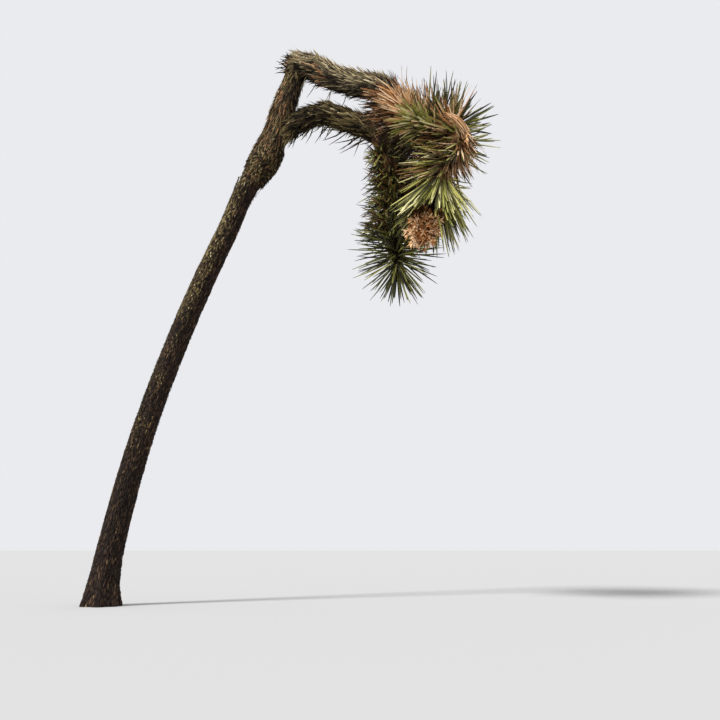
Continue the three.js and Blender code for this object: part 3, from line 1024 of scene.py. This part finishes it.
own_stems = {name: lines_of(name + "_axis", [name]) for name in LIMBS}
other_stems = {name: lines_of(name + "_others", [m for m in MASSES if m != name]) for name in LIMBS}
other_wood = {name: lines_of(name + "_wood", [w for w in WOOD if w != name]) for name in LIMBS}
other_wood["hanging_rosette"] = lines_of("cluster_and_wood", WOOD + ["dried_flower_cluster"])
for lines in (own_stems, other_stems, other_wood):
    lines.update({name: lines[growth["after"]] for name, growth in GROWTHS.items()})
print(len(own_stems), "stems to measure from")

# %% [markdown]
# Each kind of leaf has its usual length, width, thickness and forms, and LEAF_RULE holds what is
# usual for all of them. One call of dress grows the leaves of one kind on a stretch of a limb,
# and names only what is different there.

# %% Leaves on a stretch
FACING_LIMIT = 0.25
STRAND = {"length": 0.15, "width": 0.0125, "thickness": 0.0045, "forms": strand_forms}
KINDS = {
    "green": {"length": 0.3, "width": 0.0165, "thickness": 0.007, "forms": green_forms},
    "dry": {"length": 0.3, "width": 0.015, "thickness": 0.006, "forms": dry_forms},
    "thatch": STRAND,
    "straw": STRAND,
    "husk": {"length": 0.1, "width": 0.1, "thickness": 0.1},
}


def dress(
    limb, kind, leaves, seed, begin=0.0, end=1.0, pitch=90, size=1.0, facing=None, girth=None, shift=0.0,
    **changes,
):
    """Leaves of one kind on a stretch of limb, by the rule of the spiral. Angles are in degrees.

    Facing is a lean and a swing, and maybe a limit: the nearer to 1, the fewer leaves are kept.
    """
    values = {**LEAF_RULE, **KINDS[kind]}
    if facing is not None:
        lean, swing, limit = (*facing, FACING_LIMIT)[:3]
        values["facing"] = tuple(float(x) for x in heading(lean, swing))
        values["facing_limit"] = limit
    values.update(changes)
    for jitter in ("tilt_jitter", "turn_jitter"):
        values[jitter] = math.radians(values[jitter])
    line = stretch(limb, begin, end, pitch, size, girth, shift)
    return grow(
        spirals[kind], line, f"{limb}_{kind}_{seed}", leaves=leaves, seed=seed, own_stem=own_stems[limb],
        other_stems=other_stems[limb], wood=other_wood[limb], **values,
    )


print("a green leaf is", KINDS["green"]["length"], "m long")

# %% [markdown]
# ## Flakes on the trunk
# The trunk keeps the dry stubs of the leaves that it bore when it was young. Low down most have
# worn off, and higher up they are denser and golden. On the sunny side there are more of them and
# their tones are paler, which is painted light. They are short leaves by the same rule, pointing
# back down the trunk and lying close to it. The swirl turns whole patches of them aside, as the
# leaf bases of an old trunk are dragged about by its growth.

# %% Trunk flakes
LYING = {"clearance": 0.0, "trespass": 9.0, "reach": 9.0}
FLAKE_RULE = {
    **LYING, "root_depth": 0.97, "width": 0.0075, "thickness": 0.0032, "forms": flake_forms,
    "pitch": 170, "tilt_jitter": 8, "swirl": 0.5, "shift": TRUNK_SHIFT,
}
# Painted light: the flakes on the sunny side are more numerous and paler than on the far side.
SUNLIT = {"facing": (90, 195, -0.12)}
on_trunk = partial(dress, "trunk")
hand_over(
    "trunk_flakes", "bark", "trunk",
    on_trunk("thatch", 1900, 12, 0.05, 0.9, length=0.02, tone=0.8, tone_spread=1.0, tone_by_patch=3.0,
             pale_share=0.08, pale_lift=2.2, **FLAKE_RULE),
    on_trunk("thatch", 2400, 13, 0.32, 0.64, length=0.019, tone=1.2, tone_by_light=1.3, tone_by_patch=4.5,
             pale_share=0.1, **SUNLIT, **FLAKE_RULE),
    on_trunk("thatch", 4200, 14, 0.6, 0.91, length=0.021, tone=1.9, tone_spread=2.0, tone_by_light=1.9,
             tone_by_patch=4.0, pale_share=0.14, **SUNLIT, **FLAKE_RULE),
)

# %% [markdown]
# ## The collar and the rise
# Under the fork and on the rising bough the dead leaves have broken down to stubs as well. They
# are longer there, swirl more, and are mixed with rusty ones.

# %% Stubs of the collar and the rise
STUB_RULE = {
    **LYING, "root_depth": 1.0, "width": 0.0095, "thickness": 0.004, "forms": flake_forms,
    "tilt_jitter": 7, "shortest": 0.55,
}
hand_over(
    "trunk_collar_stubs", "bark", "trunk",
    on_trunk("thatch", 3200, 21, CUFF_START + 0.002, 0.999, 167, length=0.034, swirl=1.1, tone=1.7,
             tone_spread=2.1, tone_by_light=1.0, tone_by_patch=4.5, pale_share=0.12, pale_lift=2.4, **CUFF,
             **STUB_RULE),
    on_trunk("dry", 460, 22, CUFF_START + 0.002, 0.999, 166, length=0.03, swirl=1.1, tone=2.6,
             tone_spread=1.2, tone_by_patch=5.0, **CUFF, **STUB_RULE),
    on_trunk("thatch", 22, 25, CUFF_START + 0.002, 0.925, 150, 0.4, (90, 0), droop=0.7, tone=1.5,
             root_depth=0.9, forms=dry_forms, **CUFF, **LYING),
)
RISE_RULE = {**STUB_RULE, **RISE, "width": 0.0085, "forms": strand_forms, "pitch": 172, "swirl": 0.3}
on_rise = partial(dress, "upper_bough_rise")
hand_over(
    "upper_bough_rise_stubs", "thatch", "upper_bough_rise",
    on_rise("thatch", 2600, 23, 0.0, 0.93, length=0.085, tone=1.6, tone_spread=2.0, tone_by_light=1.5,
            tone_by_patch=3.0, **RISE_RULE),
    on_rise("dry", 700, 26, 0.0, 0.75, length=0.075, tone=2.0, tone_spread=1.4, tone_by_light=0.9,
            tone_by_patch=5.0, **RISE_RULE),
)

# %% [markdown]
# ## Thatch
# Old leaves stay on the boughs for years, fold back and lie on each other like thatch. Seen from
# a step away it is a coarse mass of strands with dark gaps. The straw is bleached, and its tones
# are painted paler still on the side that faces the sun and nearly black below, which is painted
# light and shade. The strands are leaves by the same rule, with a pitch close to straight back, and
# the ruffle makes whole tufts of them stand off, which gives the bough its lumps. The mat at the
# knee is straw too, and a few long straws hang loose.

# %% Thatch of the arch
THATCH_RULE = {
    **LYING, "root_depth": 0.8, "tone_spread": 2.1, "shortest": 0.55, "tilt_jitter": 6.5,
}
ARCH_GIRTH = bough((0, 0.78), (0.2, 1.0), (0.5, 0.98), (0.85, 1.1), (1, 1.05))
ARCH_SIZE = [(0, 0.45), (0.25, 0.75), (1, 0.78)]
on_arch = partial(dress, "upper_bough_arch")
hand_over(
    "upper_bough_arch_thatch", "thatch", "upper_bough_arch",
    # Painted light and shade: tone_by_light makes the sunny side of the thatch pale and its underside nearly
    # black.
    on_arch("straw", 2600, 31, 0.02, 1.0, 166, ARCH_SIZE, girth=ARCH_GIRTH, ruffle=0.6, swirl=0.65,
            width=0.013, thickness=0.006, tone=1.3, tone_by_light=3.0, tone_by_patch=5.0, pale_share=0.12,
            pale_lift=1.8, **THATCH_RULE),
    on_arch("straw", 520, 34, 0.0, 0.36, (150, 164), (0.65, 0.75), girth=ARCH_GIRTH, ruffle=0.6, swirl=0.7,
            width=0.017, thickness=0.007, tone=2.2, tone_by_light=2.2, **THATCH_RULE),
    on_arch("dry", 420, 35, 0.0, 0.42, 167, 0.4, (155, 270), swirl=0.5, width=0.012, tone=3.4,
            forms=strand_forms, **THATCH_RULE),
    dress("knee_mat", "straw", 560, 36, 0.0, 1.0, [(0, 150), (0.3, 162), (1, 168)], (0.5, 0.7), ruffle=0.6,
          swirl=0.6, thickness=0.006, tone=1.9, tone_by_light=2.6, tone_by_patch=4.0, pale_share=0.12,
          **THATCH_RULE),
    on_arch("straw", 110, 32, 0.0, 1.0, 128, 0.5, (10, 180), girth=ARCH_GIRTH, tone=2.2, forms=dry_forms,
            **LYING),
    on_arch("straw", 14, 33, 0.12, 0.6, 100, 1.2, (170, 0), droop=0.8, forms=dry_forms, root_depth=0.7,
            **LYING),
)

# %% [markdown]
# Some leaves stand off the thatch: a tuft of dark spikes at the knee, and a fringe of thick ones
# under the lower bough, whose thatch is rougher than the arch's. The bough is paler at its start and
# darker in its middle, which is painted shadow of the arch above, and the dark fringe under it is
# painted shade.

# %% Knee tuft and the lower bough
hand_over(
    "knee_tuft", "thatch", "upper_bough_rise",
    on_rise("thatch", 60, 24, 0.86, 1.0, 72, 0.5, (60, 185), root_depth=0.8, width=0.016, thickness=0.006,
            tone=1.4, tone_spread=1.8, forms=dry_forms, **LYING),
)
ROUGH = {
    "width": 0.0115, "ruffle": 0.7, "swirl": 0.6, "tone_by_light": 0.3, "tone_by_patch": 5.0,
    "pale_share": 0.12, "pale_lift": 2.2, **THATCH_RULE,
}
on_bough = partial(dress, "lower_bough")
hand_over(
    "lower_bough_thatch", "thatch", "lower_bough",
    on_bough("straw", 300, 46, 0.0, 0.2, 166, 0.55, (45, 215), tone=3.6, **ROUGH),
    on_bough("thatch", 800, 41, 0.03, 0.3, 167, 0.6, tone=3.6, **ROUGH),
    # Painted shadow of the arch: the middle of the lower bough draws dark tones.
    on_bough("thatch", 1000, 44, 0.3, 0.62, 167, 0.6, tone=1.0, **ROUGH),
    on_bough("thatch", 1200, 45, 0.57, 1.0, 167, 0.7, tone=2.7, **ROUGH),
    on_bough("thatch", 700, 43, 0.0, 0.14, 168, length=0.035, swirl=1.4, tone=4.2, tone_spread=1.8,
             tone_by_light=1.0, **STUB_RULE),
    # Painted shade: the fringe under the bough draws dark tones.
    on_bough("thatch", 130, 42, 0.26, 0.98, 126, (0.8, 1.6), (180, 0), droop=0.45, tilt_jitter=20,
             shortest=0.3, tone=1.2, tone_spread=1.2, width=0.02, thickness=0.009, root_depth=0.7,
             forms=dry_forms, **LYING),
)

# %% [markdown]
# ## The lower shoot
# The lower bough ends in a long hanging shoot that is almost black with shade inside. That shade is
# painted: the leaves of the shoot and of the lowest rosette draw darker tones than the head's, for the
# shadow of the head above, and a mass of nearly black dead leaves fills the shoot round its stem. Its
# leaves stand out all round, dead ones at its top, and at its tip they spread into the lowest rosette.

# %% Lower shoot and lowest rosette
SHADED = {"tone_spread": 1.9, "pale_share": 0.14, "pale_lift": 2.0, "shortest": 0.7}
BRIGHT = {"tone_spread": 1.4, "pale_share": 0.34, "pale_lift": 2.7, "shortest": 0.6}
SHOOT_SIZE = [(0, 0.48), (0.35, 0.52), (0.6, 0.78), (1, 0.9)]
on_shoot = partial(dress, "lower_shoot")
hand_over(
    "lower_shoot_leaves", "green_leaves", "lower_shoot",
    on_shoot("green", 640, 51, 0.1, 0.98, [(0, 105), (0.3, 95), (1, 90)], SHOOT_SIZE, droop=0.12, tone=2.6,
             width=0.018, tilt_jitter=18, **SHOOT, **BRIGHT),
    on_shoot("green", 520, 53, 0.05, 0.9, (95, 75), 1.15, (90, 0), tone=2.7, **SHOOT, **BRIGHT),
    on_shoot("green", 300, 57, 0.04, 0.85, (58, 46), (0.8, 1.05), (90, 225, 0.4), tone=2.3, tilt_jitter=12,
             **SHOOT, **SHADED),
)
hand_over(
    "lower_shoot_dry_leaves", "dead_leaves", "lower_shoot",
    on_shoot("dry", 280, 54, 0.0, 0.5, (155, 125, 110), (0.5, 0.7), tone=1.9, tone_spread=1.8,
             pale_share=0.12, **SHOOT),
    on_shoot("dry", 300, 55, 0.35, 1.0, 98, (0.6, 0.85), droop=0.1, tone=1.9, tone_spread=1.8,
             pale_share=0.15, pale_lift=3.0, **SHOOT),
    # Painted shade: nearly black dead leaves fill the shoot round its stem.
    on_shoot("dry", 700, 56, 0.0, 0.95, 88, 1.1, (90, 30, 0.0), droop=0.1, tone=0.6, tone_spread=0.9,
             shortest=0.4, trespass=0.3, clearance=0.04, **SHOOT),
    on_shoot("dry", 420, 50, 0.0, 0.3, 165, 0.45, width=0.012, tone=1.9, forms=strand_forms, **SHOOT,
             **THATCH_RULE),
)
hand_over(
    "lowest_rosette_leaves", "green_leaves", "lowest_rosette",
    dress("lowest_rosette", "green", 220, 52, 0.03, 0.98, [(0, 98), (0.3, 98), (0.65, 72), (1, 16)],
          [(0, 0.95), (0.4, 1.1), (1, 0.9)], width=0.0155, thickness=0.0085, tone=2.0, tilt_jitter=8,
          **SHADED),
)

# %% [markdown]
# ## The upper shoot
# The upper bough ends in the great head. Tan and red brown dead leaves fan back from the start
# of its stem, others stand up in a crest, and green ones stream back among them further on. Past
# the elbow the leaves stream to the left and down, and a skirt of short dead ones hangs there.

# %% Dead leaves of the upper shoot
MIXED = {"tone_spread": 2.9, "shortest": 0.6}
STREAKED = {"tone_spread": 1.9, "pale_share": 0.45, "pale_lift": 3.2, "shortest": 0.6}
on_head = partial(dress, "upper_shoot")
hand_over(
    "upper_shoot_dry_leaves", "dead_leaves", "upper_shoot",
    on_head("straw", 760, 60, 0.0, 0.34, (168, 160), 0.8, width=0.013, tone=2.2, tone_by_light=2.2,
            ruffle=0.4, swirl=0.35, girth=0.075, **THATCH_RULE),
    on_head("dry", 200, 58, 0.1, 0.36, (158, 150), (0.85, 0.95), (130, 240), droop=0.5, width=0.0165,
            root_depth=1.2, **STREAKED),
    on_head("dry", 260, 79, 0.04, 0.42, (140, 135), (0.7, 0.95), (150, 240), droop=0.5, width=0.0165,
            root_depth=1.2, tone=2.7, clearance=0.02, trespass=0.3, **STREAKED),
    on_head("dry", 130, 61, 0.16, 0.38, (155, 138), (0.6, 0.85), (120, 250), droop=-0.25, width=0.0165,
            tilt_jitter=17, root_depth=1.35, tone=4.2, **STREAKED),
    # Painted shade: a layer of nearly black leaves under the lit ones darkens the gaps between them.
    on_head("dry", 700, 80, 0.06, 0.6, 150, 0.75, width=0.014, tone=0.7, tone_spread=1.1, shortest=0.6),
    on_head("dry", 260, 69, 0.3, 0.6, (122, 88), (0.75, 1.0), (15, 200), width=0.018, tone=3.7, **STREAKED),
    on_head("dry", 340, 62, 0.6, 0.95, [(0, 130), (0.4, 85), (1, 55)], 1.25, (110, 205, 0.35), droop=0.5,
            width=0.016, tone=3.1, reach=0.43, trespass=0.25, **STREAKED),
    on_head("dry", 420, 85, 0.1, 0.95, (145, 105, 60), 0.9, (80, 115, 0.35), **STREAKED),
)

# %% [markdown]
# Inside the head the leaves are in their own shade, and it is painted: nearly black ones on its
# far side and below its stem close the view through it as painted shade. Short dead ones hang as a
# skirt round the stem under the elbow.

# %% Shade and skirt
hand_over(
    "upper_shoot_inner_leaves", "dead_leaves", "upper_shoot",
    # Painted shade: the first two sets are nearly black leaves on the far side and below the stem.
    on_head("dry", 820, 76, 0.1, 0.98, (140, 105, 70), 1.1, (120, 160, 0.35), droop=0.25, tone=0.6,
            tone_spread=1.0, shortest=0.5, trespass=0.25),
    on_head("dry", 760, 81, 0.25, 0.66, (125, 90), 1.1, (170, 180, 0.1), droop=0.5, width=0.018, tone=0.6,
            tone_spread=1.0, shortest=0.4, trespass=0.3, clearance=0.04),
    on_head("dry", 360, 65, 0.66, 0.97, 62, 0.72, (95, 240, -0.1), droop=1.3, width=0.012, tone=3.8,
            root_depth=1.0, clearance=0.03, trespass=0.25, **MIXED),
)

# %% [markdown]
# Green leaves come last. They stream back among the dead ones, stand up on the crest, and past the
# elbow sweep to the left and down.

# %% Green leaves of the upper shoot
hand_over(
    "upper_shoot_green_leaves", "green_leaves", "upper_shoot",
    on_head("green", 280, 67, 0.36, 0.57, (155, 135), 0.88, (105, 245, 0.2), droop=0.12, tilt_jitter=16,
            tone=3.4, **STREAKED),
    on_head("green", 130, 70, 0.36, 0.58, (112, 84), 1.03, (20, 0, 0.6), tone=2.6, **MIXED),
    on_head("green", 360, 66, 0.6, 0.98, [(0, 125), (0.4, 78), (1, 50)], 1.3, (105, 205, 0.35), droop=0.55,
            tone=3.3, reach=0.43, trespass=0.25, **STREAKED),
    on_head("green", 90, 71, 0.64, 0.84, (95, 70), 0.85, (95, 10, 0.55), tone=3.6, **MIXED),
    on_head("green", 360, 84, 0.3, 0.98, (125, 90, 55), 0.9, (85, 115, 0.35), **STREAKED),
    on_head("green", 170, 87, 0.52, 0.76, (92, 80), 0.8, (85, 62, 0.3), **STREAKED),
)

# %% [markdown]
# ## The elbow
# The whorl faces the viewer and keeps only the leaves on its left and lower side. The fan is the
# reverse of a rosette: its leaves point forward along a short line that leads back over the
# arch, dry ones at its tip and green ones nearer the elbow. The fold is a sheaf of narrow leaves
# that have followed the bend of the stem, so each is a thin tube of its own that runs along the
# fold's line at its own place round it.

# %% Elbow
FOLDED_LEAVES = 90
FOLDED_RINGS = 24
FOLDED_RADIUS = 0.003
FOLDED_TAPER = [(0, 0.5), (0.15, 1), (0.75, 0.9), (1, 0.15)]
FOLDED_TONES = (3, 7)
draw = np.random.default_rng(68)


def folded_leaf(number):
    """One narrow leaf that runs along the fold."""
    shares = np.linspace(draw.uniform(0, 0.4), draw.uniform(0.65, 1.0), FOLDED_RINGS)
    places = places_on("elbow_fold", shares)
    side = side_vectors(places)
    other = np.cross(np.gradient(places, axis=0), side)
    other /= np.linalg.norm(other, axis=1, keepdims=True)
    turn = math.radians(GOLDEN_ANGLE) * number
    out = side * math.cos(turn) + other * math.sin(turn)
    distance = keyed(girth_keys("elbow_fold"), shares) * draw.uniform(0.6, 1.25)
    girth = keyed(FOLDED_TAPER, np.linspace(0, 1, FOLDED_RINGS)) * FOLDED_RADIUS * draw.uniform(0.8, 1.3)
    line = line_mesh("fold", places + out * distance[:, None], girth=girth)
    tone = tones["dry"][draw.integers(*FOLDED_TONES)]
    return tube(line, "folded", rings=FOLDED_RINGS, sides=5, relief=0.0, roughness=0.0, finish=tone)


on_fan = partial(dress, "elbow_fan")
hand_over(
    "elbow_leaves", "dead_leaves", "upper_shoot",
    dress("elbow_whorl", "dry", 260, 72, 0.1, 1.0, (110, 84), (0.85, 0.7), (138, 180, 0.5), width=0.0125,
          tone=4.4, tone_spread=2.6, shortest=0.5),
    dress("elbow_fold", "dry", 36, 78, 0.8, 1.0, 60, 0.5, (95, 320, -0.4), droop=0.9, width=0.011, tone=2.6,
          **MIXED),
    on_fan("dry", 210, 82, 0.22, 1.0, (54, 20), (0.85, 0.9), (100, 265, -0.15), width=0.016, tilt_jitter=17,
           turn_jitter=50, swirl=0.5, tone=4.1, **STREAKED),
    *[folded_leaf(number) for number in range(FOLDED_LEAVES)],
)
hand_over(
    "elbow_green_leaves", "green_leaves", "upper_shoot",
    on_fan("green", 120, 83, 0.0, 0.5, (62, 35), (0.6, 0.65), (90, 270, -0.2), width=0.016, tilt_jitter=17,
           turn_jitter=50, tone=3.6, **STREAKED),
    on_fan("green", 240, 86, 0.0, 0.5, (62, 46), 0.85, (160, 250), width=0.016, tilt_jitter=14, tone=3.7,
           trespass=0.2, **STREAKED),
)

# %% [markdown]
# Two rosettes end the head. The crown spreads at the top right. The hanging one is young, and its
# leaves draw pale tones, painted light for the sun that falls on it. Its long leaves point forward,
# so that they hang like a brush round the flower stalk.

# %% The two rosettes of the head
hand_over(
    "crown_rosette_leaves", "green_leaves", "crown_rosette",
    dress("crown_rosette", "green", 160, 63, 0.1, 0.98, [(0, 110), (0.6, 75), (1, 15)], 0.9, (60, 30, 0.1),
          width=0.0175, tone=2.8, **MIXED),
)
YOUNG = {"width": 0.0185, "thickness": 0.0085, "tone_spread": 2.2, "shortest": 0.75}
on_hanging = partial(dress, "hanging_rosette")
hand_over(
    "hanging_rosette_leaves", "green_leaves", "hanging_rosette",
    # Painted light: the hanging rosette draws high tones for the sun that falls on it.
    on_hanging("green", 430, 64, 0.0, 0.97, (43, 38, 24), (1.35, 1.2, 1.0), droop=0.1, sag=0.08,
               tilt_jitter=7, tone=5.2, reach=0.43, trespass=0.12, clearance=0.135, **YOUNG),
    on_hanging("green", 260, 74, 0.0, 0.4, (45, 38), 1.25, (115, 190), droop=0.2, sag=0.06, tilt_jitter=8,
               tone=4.9, tone_spread=2.6, reach=0.44, trespass=0.25, clearance=0.11),
    on_hanging("green", 60, 73, 0.1, 0.6, 76, 0.75, (85, 15), width=0.013, tone=4.6, trespass=0.12,
               tone_spread=2.0),
)

# %% [markdown]
# ## The dried flower cluster
# Under the hanging rosette last season's flower stalk has dried to a dense orange brown bunch: a
# stem, side twigs in a spiral, branchlets on each twig, and an open capsule at the end of each
# branchlet. A dry capsule has split in three pointed valves that stand apart.

# %% Twig and capsule forms
BRANCHLETS = 7
FIRST_BRANCHLET = 0.25
BRANCHED_PART = 0.72
BRANCHLET_LEANS = (0.6, 1.1)
BRANCHLET_LENGTH = 0.28
TWIG_RADIUS = 0.034
VALVE_LENGTH = 0.32
VALVE_RADIUS = 0.055
VALVE_FOOT = 0.04
VALVE_SPREAD = (0.3, 0.9)
VALVES = 3


def spindle(start, end, rings, count):
    """A closed round form from start to end, with rings of (share, radius)."""
    axis = (end - start).normalized()
    across = axis.orthogonal().normalized()
    other = axis.cross(across)
    points = []
    for share, radius in rings:
        for i in range(count):
            angle = 2 * math.pi * i / count
            aside = across * math.cos(angle) + other * math.sin(angle)
            points.append(start.lerp(end, share) + radius * aside)
    return points, [*ring_faces(len(rings), count), tuple(range(len(points) - count, len(points)))]


def branchlets(seed):
    """Where the branchlets of one twig start and end."""
    draw = np.random.default_rng(seed)
    for i in range(BRANCHLETS):
        share = FIRST_BRANCHLET + BRANCHED_PART * i / (BRANCHLETS - 1)
        turn = math.radians(GOLDEN_ANGLE) * i + draw.uniform(-0.3, 0.3)
        lean = draw.uniform(*BRANCHLET_LEANS) if i < BRANCHLETS - 1 else 0.1
        reach = BRANCHLET_LENGTH * draw.uniform(0.8, 1.2)
        start = Vector((0, 0, share))
        way = Vector((math.sin(lean) * math.cos(turn), math.sin(lean) * math.sin(turn), math.cos(lean)))
        yield start, start + way * reach, draw


def gathered(name, parts, lifts):
    """Several closed forms as one, each with its own lift."""
    points = []
    faces = []
    shade = []
    for (corners, sides), lift in zip(parts, lifts):
        faces.extend(tuple(i + len(points) for i in side) for side in sides)
        points.extend(corners)
        shade.extend([lift] * len(sides))
    return form(name, [tuple(point) for point in points], faces, shade)


def twig_form(seed):
    tapering = [(0, TWIG_RADIUS), (1, 0.5 * TWIG_RADIUS)]
    parts = [spindle(Vector((0, 0, 0)), Vector((0, 0, 1)), tapering, 4)]
    parts.extend(spindle(start, end, tapering, 3) for start, end, draw in branchlets(seed))
    return gathered(f"twig_{seed}", parts, [0] * len(parts))


def capsule_form(seed):
    parts = []
    lifts = []
    for start, end, draw in branchlets(seed):
        way = (end - start).normalized()
        across = way.orthogonal().normalized()
        size = draw.uniform(0.75, 1.25)
        radius = VALVE_RADIUS * size
        rings = [(0, 0.45 * radius), (0.4, radius), (1, 0.15 * radius)]
        for valve in range(VALVES):
            aside = across.copy()
            aside.rotate(Quaternion(way, 2 * math.pi * valve / VALVES + draw.uniform(-0.4, 0.4)))
            tip = end + (way + aside * draw.uniform(*VALVE_SPREAD)).normalized() * VALVE_LENGTH * size
            parts.append(spindle(end - way * VALVE_FOOT, tip, rings, 3))
            lifts.append(draw.integers(-1, 3))
    return gathered(f"capsule_{seed}", parts, lifts)


twig_forms = forms("twig_forms", *[twig_form(seed) for seed in range(4)])
capsule_forms = forms("capsule_forms", *[capsule_form(seed) for seed in range(4)])

# %% [markdown]
# Twigs and capsules are two pieces. They come from the same spiral with the same seed, so that
# each capsule sits on its branchlet.

# %% Flower cluster
CLUSTER = {
    "begin": 0.14, "end": 0.84, "pitch": (95, 40), "size": 0.9, "reach": PANICLE_REACH,
    "clearance": 0.0, "tone_spread": 3.0,
}
on_cluster = partial(dress, "dried_flower_cluster", "husk", 46, 71, **CLUSTER)
flowers = {
    "flower_twigs": on_cluster(forms=twig_forms, tone=4.8),
    "dried_flower_cluster_stem": core("dried_flower_cluster"),
    "flower_capsules": on_cluster(forms=capsule_forms, tone=1.4, tone_by_share=1.9),
}
for name, part in flowers.items():
    hand_over(name, "dried_flowers", "dried_flower_cluster", part)

# %% [markdown]
# ## Camera and light
# The photograph was taken from low down and some six metres away, looking up a little. The focal
# length and the horizon are given in pixels of the photograph, as they were measured there. The
# standard view transform keeps colours as they are set, so that they can be compared with it.

# %% Camera
CAMERA_PLACE = (1.74, -6.23, 0.40)
PICTURE_PIXELS = 720
FOCAL_PIXELS = 900
HORIZON_BELOW_MIDDLE = 185
SENSOR_WIDTH = 36
camera = bpy.data.objects.new("camera", bpy.data.cameras.new("camera"))
camera.data.sensor_width = SENSOR_WIDTH
camera.data.lens = SENSOR_WIDTH * FOCAL_PIXELS / PICTURE_PIXELS
camera.location = CAMERA_PLACE
camera_pitch = math.atan(HORIZON_BELOW_MIDDLE / FOCAL_PIXELS)
camera.rotation_euler = (math.pi / 2 + camera_pitch, 0, 0)
scene.collection.objects.link(camera)
scene.camera = camera
scene.view_settings.view_transform = "Standard"
print("the camera looks up by", round(math.degrees(camera_pitch), 1), "degrees")

# %% [markdown]
# The light is a plain studio: a pale floor, an even pale sky that lights from all sides, and one
# large soft key from the upper left, where the sun stood.

# %% Floor and light
FLOOR_REACH = 60
FLOOR_COLOUR = (0.435, 0.43, 0.425)
SKY_COLOUR = (0.96, 0.965, 1.0, 1)
SKY_STRENGTH = 0.86
SUN_WAY = (-0.50, -0.48, 0.72)
SUN_SPREAD = 12
SUN_STRENGTH = 4.2
corners = [(x * FLOOR_REACH, y * FLOOR_REACH, 0) for x, y in ((-1, -1), (1, -1), (1, 1), (-1, 1))]
floor_mesh = bpy.data.meshes.new("floor")
floor_mesh.from_pydata(corners, [], [(0, 1, 2, 3)])
floor_mesh.materials.append(plain_finish("pale floor", FLOOR_COLOUR, 0.95, 0.0))
floor = bpy.data.objects.new("floor", floor_mesh)
scene.collection.objects.link(floor)
floor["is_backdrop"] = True

world = bpy.data.worlds.new("studio")
world.use_nodes = True
sky = world.node_tree.nodes["Background"]
sky.inputs["Color"].default_value = SKY_COLOUR
sky.inputs["Strength"].default_value = SKY_STRENGTH
scene.world = world

key = bpy.data.objects.new("key", bpy.data.lights.new("key", "SUN"))
key.data.energy = SUN_STRENGTH
key.data.angle = math.radians(SUN_SPREAD)
key.rotation_euler = Vector(SUN_WAY).to_track_quat("Z", "Y").to_euler()
scene.collection.objects.link(key)
print("key light", SUN_SPREAD, "degrees wide")

# %% [markdown]
# ## Sizes and finish
# Both boxes, the imported model's and the finished tree's, are printed. The finished tree has to
# fill the same box as the imported model.

# %% Sizes
low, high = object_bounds()
print("visual box", [round(x, 3) for x in (*low, *high)])
